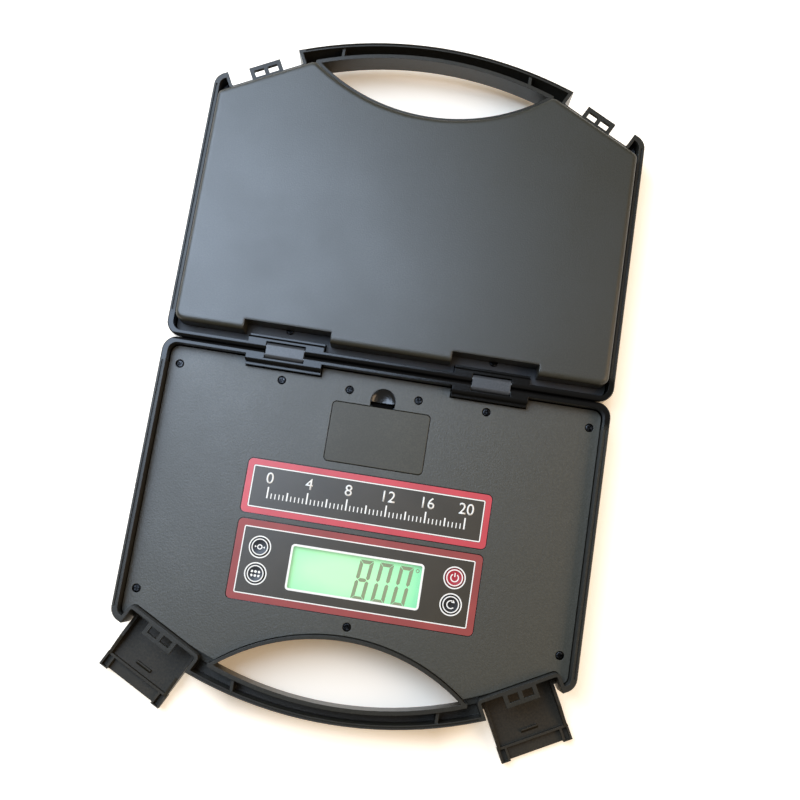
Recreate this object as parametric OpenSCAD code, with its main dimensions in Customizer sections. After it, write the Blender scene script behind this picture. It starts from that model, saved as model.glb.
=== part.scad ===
// Folding parcel scale, opened flat on a table.
// The display half lies towards -Y and the platform half towards +Y.
// The origin is on the table, under the middle of the open scale, and the seam is the line y = seam_y.
// Every shape is drawn with y counted away from the seam, then put on its half.

/* [Case] */
// Width of the case along the hinge line
case_w = 240.6; // [228:0.1:290]
// Distance from the seam to the rounded corners at the handle end
side_d = 145.4; // [142:0.1:180]
// Distance of the seam from the middle of the open scale, towards the platform half
seam_y = 4.4; // [0:0.1:8]
// Height of the rim over the table
half_h = 24.5; // [24:0.5:30]
// Thickness of the rim wall at the sides and the back
rim_t = 3.2; // [2.4:0.1:4]
// Thickness of the inner walls round the latch recesses and the handle
wall_t = 1.8; // [1.4:0.1:2.4]
// Thickness of the shell floor
floor_t = 2; // [1.5:0.1:2.5]
// Radius of the upright corners beside the hinges
corner_r = 8; // [5:0.5:12]
// Radius of the upright corners beside the latches
shoulder_r = 7.5; // [6:0.5:10]
// Rounding of the bottom edge
base_r = 3.5; // [1:0.5:4]
// Rounding of the outer edge of the rim
rim_edge = 0.5; // [0.2:0.1:0.8]
// Half of the gap between the two back walls
back_gap = 0.15; // [0.1:0.05:0.3]
// Width and depth of the groove along the rim
rim_groove = 0.8; // [0.5:0.1:1]
// Height of the rubber feet
foot_h = 1.5; // [1:0.5:3]
// Radius of the rubber feet
foot_r = 6; // [4:0.5:8]

/* [Handle] */
// How far the handle arches out past the latch recesses
handle_rise = 14.1; // [10:0.1:20]
// Thickness of the handle at the middle
handle_t = 9; // [8:0.5:14]
// Thickness of the handle's two walls
handle_wall = 2.2; // [1.6:0.1:2.6]
// Bevel on the two lower edges of the handle
handle_bevel = 1.2; // [0.5:0.1:1.5]
// Height of the handle channel, down from the rim
handle_h = 15.4; // [12:0.2:18]
// Width of the finger opening
finger_w = 127.4; // [110:0.2:140]
// Depth of the finger opening at the middle
finger_d = 32.5; // [26:0.5:38]
// How far the tips of the finger opening lie behind the handle's crown
finger_tip = 19.8; // [17:0.2:23]
// Where the two cross ribs of the handle stand, from the middle
rib_x = 52.6; // [40:0.2:58]
// Thickness of the cross ribs
rib_t = 1.6; // [1:0.1:2.5]

/* [Hinges] */
// Distance of each hinge from the middle
hinge_x = 55.5; // [45:0.5:70]
// Width of each hinge block
hinge_w = 40.6; // [36:0.2:48]
// Width of the link between the lugs
link_w = 20.4; // [16:0.2:24]
// Gap on each side of the link
link_gap = 0.4; // [0.2:0.1:0.6]
// Radius of the link's rounded ends
link_r = 2; // [1.8:0.1:2]
// Radius of the hinge pins
pin_r = 0.9; // [0.7:0.1:1]
// Running clearance of the pins in the links, and of the latches on their trunnions
run_gap = 0.05; // [0.03:0.01:0.1]
// Depth of each pin below the rim, and its distance from the back wall
pin_in = 2.1; // [2.1:0.1:2.4]
// How far the lugs reach in from the back
lug_d = 7; // [6:0.1:8]
// How far the hinge block reaches in from the back
block_d = 8.5; // [7:0.1:9]
// Radius on the front edge of the lugs
lug_edge_r = 1.6; // [1:0.1:2]

/* [Latches] */
// Angle of the cut corners that carry the latches
latch_angle = 27.5; // [22:0.5:33]
// Distance of a latch's middle from the side of the case
latch_in = 28.7; // [26:0.1:34]
// Distance of a latch's middle past the straight side
latch_out = 7.8; // [6:0.1:10]
// Width of the latch recess
recess_w = 41.2; // [40:0.2:44]
// Radius of the latch recess's inner corners
recess_r = 0.8; // [0.4:0.1:1.5]
// Depth of the latch recess
recess_d = 8.9; // [8.5:0.1:10]
// Gap on each side of the latch
latch_gap = 1.4; // [0.8:0.1:2]
// Length of the latch from its pivot to its lip
latch_len = 31.2; // [28:0.1:33]
// Length of the finger lip beyond the latch's cross rib
lip_len = 6.4; // [5:0.1:8]
// Thickness of the latch cover and its side walls
latch_t = 1.7; // [1.4:0.1:2]
// Height of the cross rib and of the walls round the lip
lip_wall = 3; // [2:0.1:3.6]
// Distance of the pivot from the recess wall
pivot_out = 3; // [2.8:0.1:3.2]
// Depth of the pivot below the rim
pivot_drop = 15.7; // [15:0.1:16]
// Radius of the latch's trunnions
trunnion_r = 1.2; // [1:0.1:1.5]
// Width of the catch loop
loop_w = 17.9; // [14:0.1:20]
// How far the catch loop stands out
loop_out = 6.8; // [6.6:0.1:7]
// Thickness of the catch loop
loop_t = 2.4; // [1.8:0.1:2.6]
// Width of the bars of the catch loop
loop_bar = 2.3; // [1.8:0.1:2.6]
// Gap between the catch loop and the cover of the closed latch
loop_gap = 0.4; // [0.3:0.1:0.6]
// How far the hook inside the latch reaches over the catch loop
hook_bite = 1.4; // [0.6:0.1:1.5]
// Width of the hook inside the latch
hook_w = 9; // [6:0.5:14]

/* [Display half] */
// Depth of the display panel below the rim
panel_drop = 8; // [7.5:0.1:8]
// Thickness of the display panel
panel_t = 2.5; // [2:0.1:3]
// Gap round the display panel
panel_gap = 0.4; // [0.2:0.1:0.6]
// Further gap between the panel and the ends of the handle
mouth_gap = 1; // [1:0.1:3]
// Width and depth of the name plate
name_size = [130.3, 28.6];
// Gap between the name plate and the control plate
plates_gap = 3.3; // [2:0.1:4]
// Width and depth of the control plate
control_size = [129.7, 41.9];
// Distance of the control plate from the finger opening
control_in = 12.1; // [11:0.1:14]
// Thickness of the two plates
plate_t = 0.6; // [0.4:0.1:1]
// Corner radius of the two plates
plate_r = 2.5; // [1:0.5:4]
// Size of the display window
window_size = [70, 23.6];
// Height of the digits
digit_h = 21; // [14:0.5:21]
// Width of one digit
digit_w = 7.2; // [6:0.2:8.6]
// Width of a digit's segments
digit_t = 1.9; // [1:0.1:2]
// Distance from one digit to the next
digit_pitch = 10.6; // [9:0.2:12]
// Distance of the last digit's middle from the edge of the window
digit_in = 9.8; // [7:0.2:14]
// Lean of the digits
digit_lean = 0.115; // [0:0.005:0.2]
// Radius of the four keys
key_r = 4.8; // [4:0.1:5.2]
// Distance of the keys from the middle
key_x = 51.5; // [48:0.5:54]
// Distance between the two rows of keys
key_pitch = 13.9; // [12.8:0.1:15]
// How far a key stands over the panel
key_proud = 0.7; // [0.3:0.1:1.2]
// Travel of a key
key_travel = 0.4; // [0.2:0.1:0.5]

/* [Battery bay] */
// Size of the battery cover's opening
cover_size = [53.3, 32.8];
// Distance of the opening from the seam
cover_y = 20; // [19:0.2:22]
// Thickness of the battery cover
cover_t = 1.6; // [1.2:0.1:2]
// Gap round the battery cover
cover_gap = 0.3; // [0.2:0.1:0.5]
// Radius of the finger recess beside the cover
thumb_r = 6.8; // [5:0.1:8]
// Radius of one cell
cell_r = 5.15; // [4.8:0.05:5.15]
// Length of one cell
cell_len = 44.5; // [42:0.5:45]

/* [Platform half] */
// How far the weighing platform stands over the rim
platform_rise = 6; // [4:0.1:6]
// Gap between the weighing platform and the rim
platform_gap = 1.1; // [0.8:0.1:1.5]
// Thickness of the weighing platform's top
platform_t = 2.5; // [2:0.1:3]
// Thickness of the weighing platform's skirt
skirt_t = 2.2; // [1.6:0.1:3]
// Distance of the platform's back edge from the seam
platform_back = 7.9; // [7:0.1:10]
// Depth of the notches that clear the hinge blocks
notch_d = 5.6; // [4:0.1:8]
// Clearance of those notches beside the hinge blocks
notch_gap = 2.9; // [1:0.1:4]
// Rounded edge of the weighing platform
platform_edge = 2.5; // [1:0.5:3]
// Radius of the platform's corners beside the hinges
platform_corner = 5; // [3.5:0.5:8]
// Radius of the platform's corners beside the latches
platform_shoulder = 3.5; // [3:0.5:6]
// Radius of the platform's two tips beside the handle
platform_tip = 4; // [3:0.5:5]
// Travel of the platform at full load
load_travel = 0.4; // [0.2:0.1:0.5]
// Length, width and height of the load cell
bar_size = [100, 20, 13];
// Thickness of the steel plates over and under the load cell
steel_t = 1.5; // [1:0.1:2]
// Length of the carrier under the platform
carrier_size = [190, 104];

/* [Hidden] */
$fn = 64;
eps = 0.01;
big = 400;

black_plastic = "#2b2c2e";
dark_plastic = "#1c1d1f";
steel = "#b9bdc2";

floor_z = foot_h + floor_t;
panel_z = half_h - panel_drop;
panel_under = panel_z - panel_t;
platform_z = half_h + platform_rise;
platform_under = platform_z - platform_t;

// The latch frame: its origin is on the recess wall, x runs along the cut corner, y points out.
latch_pos = [case_w / 2 - latch_in, side_d + latch_out];
out_dir = [sin(latch_angle), cos(latch_angle)];
wall_line = latch_pos * out_dir;

// A line is [nx, ny, c] for nx * x + ny * y = c. These are the edges of the case, moved in by d.
function meet(a, b) = let (k = a[0] * b[1] - a[1] * b[0])
    [(a[2] * b[1] - a[1] * b[2]) / k, (a[0] * b[2] - a[2] * b[0]) / k];
function side_line(d) = [1, 0, case_w / 2 - d];
function front_line(d) = [out_dir[0], out_dir[1], wall_line + recess_d - d];
function arc_radius(half, sag) = (half * half + sag * sag) / (2 * sag);
corner_c = [case_w / 2 - corner_r, back_gap + corner_r];
shoulder_c = meet(side_line(shoulder_r), front_line(shoulder_r));

// The handle's outer arc starts where the latch recess ends.
handle_end = latch_pos + [-recess_w / 2 * cos(latch_angle) + recess_d * sin(latch_angle),
    recess_w / 2 * sin(latch_angle) + recess_d * cos(latch_angle)];
case_d = handle_end[1] + handle_rise;
handle_outer_r = arc_radius(handle_end[0], handle_rise);
// The finger opening lies between the handle's inner arc and the arc cut into the body.
grip_y = case_d - handle_t;
body_y = grip_y - finger_d;
tip_y = case_d - finger_tip;
grip_r = arc_radius(finger_w / 2, grip_y - tip_y);
body_r = arc_radius(finger_w / 2, tip_y - body_y);
handle_z = half_h - handle_h;
handle_floor = handle_z + floor_t;

pin_y = back_gap + pin_in;
pin_z = half_h - pin_in;
pin_len = hinge_w - 4.6;
slot_r = link_r + 0.35;
pivot_z = half_h - pivot_drop;
latch_w = recess_w - 2 * latch_gap;

control_y = body_y - control_in - control_size[1];
control_mid = control_y + control_size[1] / 2;
name_y = control_y - plates_gap - name_size[1];
window_y = control_mid + 0.3;
key_y = [control_mid - 0.4 - key_pitch / 2, control_mid - 0.4 + key_pitch / 2];
digits_y = control_mid + 1.3;

screw_head_r = 2.1;
screw_head_h = 1.3;
screw_sunk = 0.3;
screw_r = 1.1;
screw_len = 7;
boss_r = 3.2;
screw_points = [[-case_w / 2 + 9.2, 13.4], [-hinge_x, 13.7], [-18.7, 13.2], [18.7, 13.2],
    [hinge_x, 13.7], [case_w / 2 - 9.2, 13.4], [-case_w / 2 + 9.2, side_d - 11.8],
    [case_w / 2 - 9.2, side_d - 11.8], [0, body_y - 6.8]];

board_t = 1.6;
board_size = [122, 38];
board_z = 7;
board_y = control_mid;
board_points = [[-57, -15], [57, -15], [-57, 15], [57, 15]];
glass_size = [74, 27, 2.8];
glass_z = panel_under - 0.1 - glass_size[2];
key_flange_r = key_r + 1.3;
key_flange_t = 1;
key_rest = panel_under - 0.1;
switch_h = 3.2;
plunger_h = 0.3;

cell_gap = 0.4;
cells_y = cover_y + cover_size[1] / 2;
cell_z = floor_z + cell_r + 0.05;
box_in = [cell_len + 4.9, 3 * (2 * cell_r + cell_gap) + 0.3];
box_wall = 1.4;
contact_t = 0.4;
tab_x = 16;
tab_w = 8;

load_y = (platform_back + body_y) / 2 + 1.5;
plate_z = floor_z + 2;
spacer_t = 2.5;
bar_z = plate_z + steel_t + spacer_t;
carrier_z = platform_under - 1.7 - steel_t;
base_plate_size = [150, 60];
base_plate_points = [[-68, -23], [68, -23], [-68, 23], [68, 23]];
carrier_points = [[-85, -42], [85, -42], [-85, 42], [85, 42]];
thread_r = 1.5;
thread_gap = 0.02;
bolt_r = 2;
bolt_head_r = 3.5;
bolt_head_h = 1.6;
spacer_len = 25;
skirt_z = panel_z + 2;
// Middle of the circle that rounds a tip of the platform: it touches the latch line and the bay.
tip_line = wall_line - wall_t - platform_gap + 0.3 - platform_tip;
tip_base = out_dir * tip_line;
tip_half = cos(latch_angle) * tip_base[0] - sin(latch_angle) * (tip_base[1] - body_y - body_r);
tip_far = pow(tip_base[0], 2) + pow(tip_base[1] - body_y - body_r, 2)
    - pow(body_r + wall_t + platform_gap + platform_tip, 2);
tip_s = -tip_half + sqrt(tip_half * tip_half - tip_far);
tip_c = tip_base + tip_s * [cos(latch_angle), -sin(latch_angle)];
stop_x = case_w / 2 - 16.3;
stop_points = [[-stop_x, platform_back + 15], [stop_x, platform_back + 15], [-stop_x, side_d - 18], [stop_x, side_d - 18]];
foot_x = case_w / 2 - 22.3;
feet_points = [[-foot_x, 22], [foot_x, 22], [-foot_x, side_d - 20], [foot_x, side_d - 20]];

module on_display() {
    translate([0, seam_y, 0]) mirror([0, 1, 0]) children();
}

module on_platform() {
    translate([0, seam_y, 0]) children();
}

module both_sides() {
    for (s = [0, 1]) mirror([s, 0, 0]) children();
}

module at_latch() {
    translate(latch_pos) rotate(-latch_angle) children();
}

module rounded_plate(size, r) {
    translate([r, 0]) square([size[0] - 2 * r, size[1]]);
    translate([0, r]) square([size[0], size[1] - 2 * r]);
    for (x = [r, size[0] - r], y = [r, size[1] - r]) translate([x, y]) circle(r = r);
}

module centred_plate(size, r) {
    translate([-size[0] / 2, -size[1] / 2]) rounded_plate(size, r);
}

// Outline of one half, moved in by d, with the latch recesses and the finger opening filled.
module outline(d = 0) {
    both_sides() {
        polygon([[-1, back_gap + d], [corner_c[0], back_gap + d], corner_c, [case_w / 2 - d, corner_c[1]],
            [case_w / 2 - d, shoulder_c[1]], shoulder_c, shoulder_c + out_dir * (shoulder_r - d),
            meet(front_line(d), [1, 0, handle_end[0]]), [-1, handle_end[1]]]);
        translate(corner_c) circle(r = corner_r - d);
        translate(shoulder_c) circle(r = shoulder_r - d);
    }
    intersection() {
        translate([0, case_d - handle_outer_r]) circle(r = handle_outer_r - d, $fn = 180);
        translate([-handle_end[0], side_d]) square([2 * handle_end[0], big]);
    }
}

module recess_area(grow = 0) {
    w = recess_w / 2 + grow;
    r = recess_r + grow;
    both_sides() at_latch() {
        translate([-w + r, -grow]) square([2 * (w - r), big]);
        translate([-w, -grow + r]) square([2 * w, big]);
        for (s = [-1, 1]) translate([s * (w - r), -grow + r]) circle(r = r);
    }
}

module grip_circle(grow = 0) {
    translate([0, grip_y - grip_r]) circle(r = grip_r + grow, $fn = 180);
}

module body_circle(grow = 0) {
    translate([0, body_y + body_r]) circle(r = body_r + grow, $fn = 180);
}

// The room inside the rim, moved in by a further d from the rim and the inner walls, and by
// another e where it meets the ends of the handle.
module body_room(d = 0, e = 0) {
    difference() {
        intersection() {
            outline(rim_t + d);
            union() {
                grip_circle(-d - e);
                both_sides() translate([handle_end[0], 0]) square(big);
            }
        }
        recess_area(wall_t + d);
        body_circle(wall_t + d);
    }
}

module handle_room() {
    difference() {
        intersection() {
            outline(handle_wall);
            translate([-handle_end[0], side_d - corner_r]) square([2 * handle_end[0], big]);
        }
        recess_area(wall_t);
        grip_circle(handle_wall);
    }
}

// Where the tray runs on into the ends of the handle, beside the tips of the finger opening.
module handle_mouth() {
    difference() {
        intersection() {
            outline(handle_wall);
            grip_circle(handle_wall + 1);
            both_sides() translate([finger_w / 2 + 3, side_d]) square(big);
        }
        recess_area(wall_t);
        grip_circle(-1);
    }
}

// A strip along the handle's outer edge, from in mm inside it out to its edge.
module handle_edge(in) {
    difference() {
        translate([-handle_end[0] + 4, side_d]) square([2 * handle_end[0] - 8, big]);
        translate([0, case_d - handle_outer_r]) circle(r = handle_outer_r - in, $fn = 180);
    }
}

// The bevels on the handle's two lower edges.
module handle_bevels() {
    b = handle_bevel;
    z = handle_z - eps;
    translate([0, case_d - handle_outer_r, z]) rotate_extrude($fn = 180) polygon([[handle_outer_r - b, 0],
        [handle_outer_r + 1, 0], [handle_outer_r + 1, b + 1], [handle_outer_r, b]]);
    translate([0, grip_y - grip_r, z]) rotate_extrude($fn = 180) polygon([[grip_r - 1, 0], [grip_r + b, 0],
        [grip_r, b], [grip_r - 1, b]]);
}

// Side view of a hinge block: x counts away from the seam and y is the height.
module hinge_profile() {
    difference() {
        union() {
            translate([back_gap, floor_z - eps]) square([block_d - back_gap, half_h - 4 - floor_z]);
            translate([back_gap, floor_z - eps]) square([lug_d - back_gap, half_h - floor_z]);
        }
        translate([back_gap - 1, pin_z]) square([pin_in + 1, big]);
        translate([lug_d - lug_edge_r, half_h - lug_edge_r]) square(big);
    }
    translate([pin_y, pin_z]) circle(r = pin_in);
    translate([lug_d - lug_edge_r, half_h - lug_edge_r]) circle(r = lug_edge_r);
}

module along_x(length) {
    translate([-length / 2, 0, 0]) rotate([90, 0, 90]) linear_extrude(length) children();
}

// Catch loop with two windows, in the latch frame.
module catch_loop() {
    window_w = (loop_w - 3 * loop_bar) / 2;
    translate([0, 0, half_h - loop_t]) difference() {
        translate([-loop_w / 2, -wall_t / 2, 0]) cube([loop_w, loop_out + wall_t / 2, loop_t]);
        for (s = [-1, 1])
            translate([s * (window_w + loop_bar) / 2 - window_w / 2, 0.7, -1])
                cube([window_w, loop_out - loop_bar - 0.7, loop_t + 2]);
    }
}

// One shell with its rim, handle, recesses, hinge blocks and catch loops.
module shell_body() {
    top = half_h - foot_h;
    difference() {
        translate([0, 0, foot_h]) hull() {
            linear_extrude(eps) outline(base_r, $fn = 32);
            translate([0, 0, base_r * 0.29]) linear_extrude(eps) outline(base_r * 0.29, $fn = 32);
            translate([0, 0, base_r]) linear_extrude(top - base_r - rim_edge) outline($fn = 32);
            translate([0, 0, top - eps]) linear_extrude(eps) outline(rim_edge, $fn = 32);
        }
        translate([0, 0, floor_z]) linear_extrude(big) body_room(0, wall_t);
        translate([0, 0, panel_under]) linear_extrude(big) body_room();
        translate([0, 0, handle_floor]) linear_extrude(big) handle_room();
        translate([0, 0, panel_under]) linear_extrude(big) handle_mouth();
        linear_extrude(big) recess_area();
        linear_extrude(big) intersection() {
            grip_circle();
            body_circle();
        }
        linear_extrude(handle_z) difference() {
            translate([-handle_end[0] - recess_d, side_d]) square([2 * (handle_end[0] + recess_d), big]);
            grip_circle();
            recess_area(wall_t);
        }
        intersection() {
            handle_bevels();
            linear_extrude(big) difference() {
                translate([-handle_end[0], side_d]) square([2 * handle_end[0], big]);
                recess_area(wall_t);
            }
        }
        along_x(case_w + 2) difference() {
            translate([back_gap - 1, pin_z]) square([pin_in + 1, big]);
            translate([pin_y, pin_z]) circle(r = pin_in);
        }
        both_sides() translate([case_w / 2 - rim_t / 2 - rim_groove / 2, corner_r + 6, half_h - rim_groove])
            cube([rim_groove, shoulder_c[1] - corner_r - 6, big]);
        translate([0, 0, half_h - rim_groove]) linear_extrude(big) intersection() {
            handle_edge(handle_wall / 2 + rim_groove / 2);
            translate([0, case_d - handle_outer_r])
                circle(r = handle_outer_r - handle_wall / 2 + rim_groove / 2, $fn = 180);
        }
        both_sides() translate([hinge_x - hinge_w / 2, -1, floor_z]) cube([hinge_w, rim_t + 2, big]);
    }
    both_sides() at_latch() catch_loop();
    both_sides() translate([rib_x - rib_t / 2, 0, handle_floor - eps]) intersection() {
        cube([rib_t, big, handle_h - floor_t - 1.5]);
        translate([-rib_x + rib_t / 2, 0, 0]) linear_extrude(big) handle_room();
    }
    both_sides() translate([hinge_x, 0, 0]) difference() {
        along_x(hinge_w) hinge_profile();
        along_x(link_w + 2 * link_gap) translate([-1, pin_z - slot_r]) square([pin_y + slot_r + 1, big]);
        translate([0, pin_y, pin_z]) rotate([0, 90, 0]) cylinder(r = pin_r, h = pin_len, center = true);
    }
}

module screw_bosses() {
    for (p = screw_points) translate([p[0], p[1], floor_z - eps]) difference() {
        cylinder(r = boss_r, h = panel_under - floor_z + eps);
        translate([0, 0, 3]) cylinder(r = screw_r, h = big);
    }
}

// A countersunk bore for a panel screw, with its head's seat.
module screw_holes() {
    for (p = screw_points) translate([p[0], p[1], 0]) {
        cylinder(r = screw_r, h = big);
        translate([0, 0, panel_z - screw_sunk - screw_head_h]) cylinder(r = screw_head_r + 0.2, h = big);
    }
}

module screws() {
    for (p = screw_points) translate([p[0], p[1], 0]) difference() {
        union() {
            translate([0, 0, panel_z - screw_sunk - screw_head_h]) cylinder(r = screw_head_r, h = screw_head_h);
            translate([0, 0, panel_z - screw_sunk - screw_len]) cylinder(r = screw_r, h = screw_len - screw_head_h);
        }
        for (a = [0, 90]) translate([0, 0, panel_z - screw_sunk]) rotate(a) cube([2.6, 0.5, 1.4], center = true);
    }
}

module feet() {
    for (p = feet_points) translate([p[0], p[1], 0]) {
        cylinder(r1 = foot_r - 0.5, r2 = foot_r, h = 0.5);
        translate([0, 0, 0.5]) cylinder(r = foot_r, h = foot_h - 0.5);
    }
}

module pins() {
    both_sides() translate([hinge_x, pin_y, pin_z]) rotate([0, 90, 0])
        cylinder(r = pin_r, h = pin_len, center = true);
}

module display_shell() {
    color(black_plastic) on_display() {
        difference() {
            shell_body();
            both_sides() at_latch() translate([0, pivot_out, pivot_z]) rotate([0, 90, 0])
                cylinder(r = trunnion_r + run_gap, h = recess_w + 2 * wall_t + 1, center = true);
        }
        screw_bosses();
        for (p = board_points) translate([p[0], board_y + p[1], floor_z - eps]) difference() {
            cylinder(r = 2.6, h = board_z - floor_z + eps);
            translate([0, 0, 0.5]) cylinder(r = screw_r, h = big);
        }
    }
}

module panel_sheet() {
    difference() {
        translate([0, 0, panel_under]) linear_extrude(panel_t) body_room(panel_gap, mouth_gap);
        both_sides() translate([hinge_x, 0, 0]) cube([hinge_w + 2 * panel_gap, 2 * (block_d + panel_gap), big],
            center = true);
        screw_holes();
    }
}

module plate_pocket(size, y) {
    translate([0, y + size[1] / 2, panel_z - plate_t]) linear_extrude(big)
        centred_plate(size + [2, 2] * panel_gap, plate_r + panel_gap);
}

module key_places() {
    for (s = [-1, 1], y = key_y) translate([s * key_x, y, 0]) children();
}

module display_panel() {
    color(black_plastic) on_display() difference() {
        panel_sheet();
        plate_pocket(name_size, name_y);
        plate_pocket(control_size, control_y);
        translate([0, window_y, 0]) cube([window_size[0] - 1, window_size[1] - 1, big], center = true);
        key_places() cylinder(r = key_r + cover_gap, h = big);
        translate([0, cells_y, panel_z - cover_t]) linear_extrude(big) centred_plate(cover_size, 2.5);
        translate([-cover_size[0] / 2 + 1.5, cover_y, 0]) cube([cover_size[0] - 3, cover_size[1], big]);
        translate([0, cover_y - thumb_r / 2, panel_z - 1.9]) intersection() {
            cylinder(r = thumb_r, h = big);
            translate([-big / 2, -big, 0]) cube([big, big + thumb_r / 2, big]);
        }
        translate([-thumb_r + 0.2, cover_y - 2.6, 0]) cube([2 * thumb_r - 0.4, 2.7, big]);
    }
}

module panel_screws() {
    color(dark_plastic) on_display() screws();
}

module name_plate() {
    color("#7d1f22") on_display() translate([0, name_y + name_size[1] / 2, panel_z - plate_t])
        linear_extrude(plate_t) centred_plate(name_size, plate_r);
}

module control_plate() {
    color("#7d1f22") on_display() difference() {
        translate([0, control_y + control_size[1] / 2, panel_z - plate_t])
            linear_extrude(plate_t) centred_plate(control_size, plate_r);
        translate([0, window_y, 0]) linear_extrude(big) centred_plate(window_size, 0.8);
        key_places() cylinder(r = key_r + cover_gap, h = big);
    }
}

module display_window() {
    color("#cfe8cf") on_display() translate([0, window_y, panel_z - plate_t])
        linear_extrude(plate_t) centred_plate(window_size, 0.8);
}

// The seven segments of a digit, as polygons round the digit's middle.
function level(y, w, t) = [[-w / 2 + 0.2, y], [w / 2 - 0.2, y], [w / 2 - t, y - sign(y) * t], [t - w / 2, y - sign(y) * t]];
function upright(x, y, h, t) = [[x, y * (h / 2 - 0.3)], [x - sign(x) * t, y * (h / 2 - t - 0.3)],
    [x - sign(x) * t, y * (t / 2 + 0.2)], [x - sign(x) * t / 2, y * 0.2], [x, y * (t / 2 + 0.2)]];
function waist(w, t) = [[-w / 2 + t * 0.7, 0], [-w / 2 + t * 1.2, t / 2], [w / 2 - t * 1.2, t / 2],
    [w / 2 - t * 0.7, 0], [w / 2 - t * 1.2, -t / 2], [-w / 2 + t * 1.2, -t / 2]];
function segments(w, h, t) = [level(h / 2, w, t), level(-h / 2, w, t), upright(-w / 2, 1, h, t), upright(w / 2, 1, h, t),
    upright(-w / 2, -1, h, t), upright(w / 2, -1, h, t), waist(w, t)];

// Three digits, 8, 0 and 0, and the small ring beside them.
module display_digits() {
    shapes = segments(digit_w, digit_h, digit_t);
    last = window_size[0] / 2 - digit_in;
    color("#33402c") translate([0, seam_y - digits_y, glass_z + glass_size[2]]) linear_extrude(0.1) {
        for (i = [0:2]) translate([last - i * digit_pitch, 0])
            multmatrix([[1, digit_lean, 0, 0], [0, 1, 0, 0], [0, 0, 1, 0], [0, 0, 0, 1]])
                for (k = [0:(i == 2 ? 6 : 5)]) polygon(shapes[k]);
        translate([last + digit_w / 2 + 3.2, digit_h / 2 - 1.4]) difference() {
            circle(r = 1);
            circle(r = 0.6);
        }
    }
}

module display_glass() {
    color("#a9d89c") on_display() translate([-glass_size[0] / 2, window_y - glass_size[1] / 2, glass_z])
        cube(glass_size);
}

module backlight() {
    color("#d8f0c8") on_display()
        translate([-glass_size[0] / 2, window_y - glass_size[1] / 2, board_z + board_t])
            cube([glass_size[0], glass_size[1], glass_z - board_z - board_t]);
}

module circuit_board() {
    color("#2f6b3a") on_display() translate([0, board_y, board_z]) difference() {
        linear_extrude(board_t) centred_plate(board_size, 1.5);
        for (p = board_points) translate([p[0], p[1], -1]) cylinder(r = screw_r, h = big);
    }
}

module board_chips() {
    under = board_z - 2.2;
    color(dark_plastic) on_display() translate([0, board_y, under]) {
        translate([-9, -6, 0]) cube([16, 12, 2.2]);
        translate([20, -4, 0.4]) cube([10, 6, 1.8]);
        translate([-34, 4, 0]) cylinder(r = 6, h = 2.2);
    }
}

module key_switches() {
    color(dark_plastic) on_display() key_places() {
        translate([-3, -3, board_z + board_t]) cube([6, 6, switch_h]);
        translate([0, 0, board_z + board_t + switch_h]) cylinder(r = 1.6, h = plunger_h);
    }
}

module board_screws() {
    color(steel) on_display() for (p = board_points) translate([p[0], board_y + p[1], 0]) {
        translate([0, 0, board_z + board_t]) cylinder(r = 2.2, h = 1.4);
        translate([0, 0, floor_z + 0.6]) cylinder(r = screw_r, h = board_z + board_t - floor_z - 0.6 + eps);
    }
}

// A key cap with the flange that keeps it under the panel and the stem over its switch.
module key(side, row) {
    stem_z = board_z + board_t + switch_h + plunger_h + key_travel + 0.05;
    on_display() translate([side * key_x, key_y[row], 0]) {
        translate([0, 0, key_rest - key_flange_t]) cylinder(r = key_r, h = panel_z + key_proud - key_rest + key_flange_t);
        translate([0, 0, key_rest - key_flange_t]) cylinder(r = key_flange_r, h = key_flange_t);
        translate([0, 0, stem_z]) cylinder(r = 1.8, h = key_rest - key_flange_t - stem_z + eps);
    }
}

module key_tare() {
    color(dark_plastic) key(-1, 0);
}

module key_count() {
    color(dark_plastic) key(-1, 1);
}

module key_power() {
    color("#a5252b") key(1, 0);
}

module key_mode() {
    color(dark_plastic) key(1, 1);
}

module battery_box() {
    outer = box_in + [2, 2] * box_wall;
    color(dark_plastic) on_display() translate([0, cells_y, floor_z]) difference() {
        translate([-outer[0] / 2, -outer[1] / 2, 0]) cube([outer[0], outer[1], panel_under - floor_z]);
        translate([-box_in[0] / 2, -box_in[1] / 2, -1]) cube([box_in[0], box_in[1], big]);
        for (s = [-1, 1])
            translate([s * tab_x - tab_w / 2 - 1, 0, panel_under - floor_z - 2.2]) cube([tab_w + 2, big, big]);
        translate([-thumb_r, -big, panel_under - floor_z - 1.2]) cube([2 * thumb_r, big, big]);
    }
}

module battery_cells() {
    color("#9a7a3c") on_display() for (i = [-1:1])
        translate([-cell_len / 2, cells_y + i * (2 * cell_r + cell_gap), cell_z]) rotate([0, 90, 0]) {
            turn = i == 0 ? 1 : 0;
            translate([0, 0, turn]) cylinder(r = cell_r, h = cell_len - 1);
            translate([0, 0, turn ? 0 : cell_len - 1 - eps]) cylinder(r = 1.9, h = 1 + eps);
        }
}

module battery_contacts() {
    end = box_in[0] / 2;
    color(steel) on_display() for (i = [-1:1]) translate([0, cells_y + i * (2 * cell_r + cell_gap), cell_z]) {
        s = i == 0 ? 1 : -1;
        for (e = [-1, 1]) translate([e * (end - contact_t / 2), 0, 0]) cube([contact_t, 8, 8], center = true);
        translate([s * cell_len / 2, 0, 0]) rotate([0, s * 90, 0])
            cylinder(r1 = 2, r2 = 3.4, h = end - contact_t - cell_len / 2);
    }
}

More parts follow.
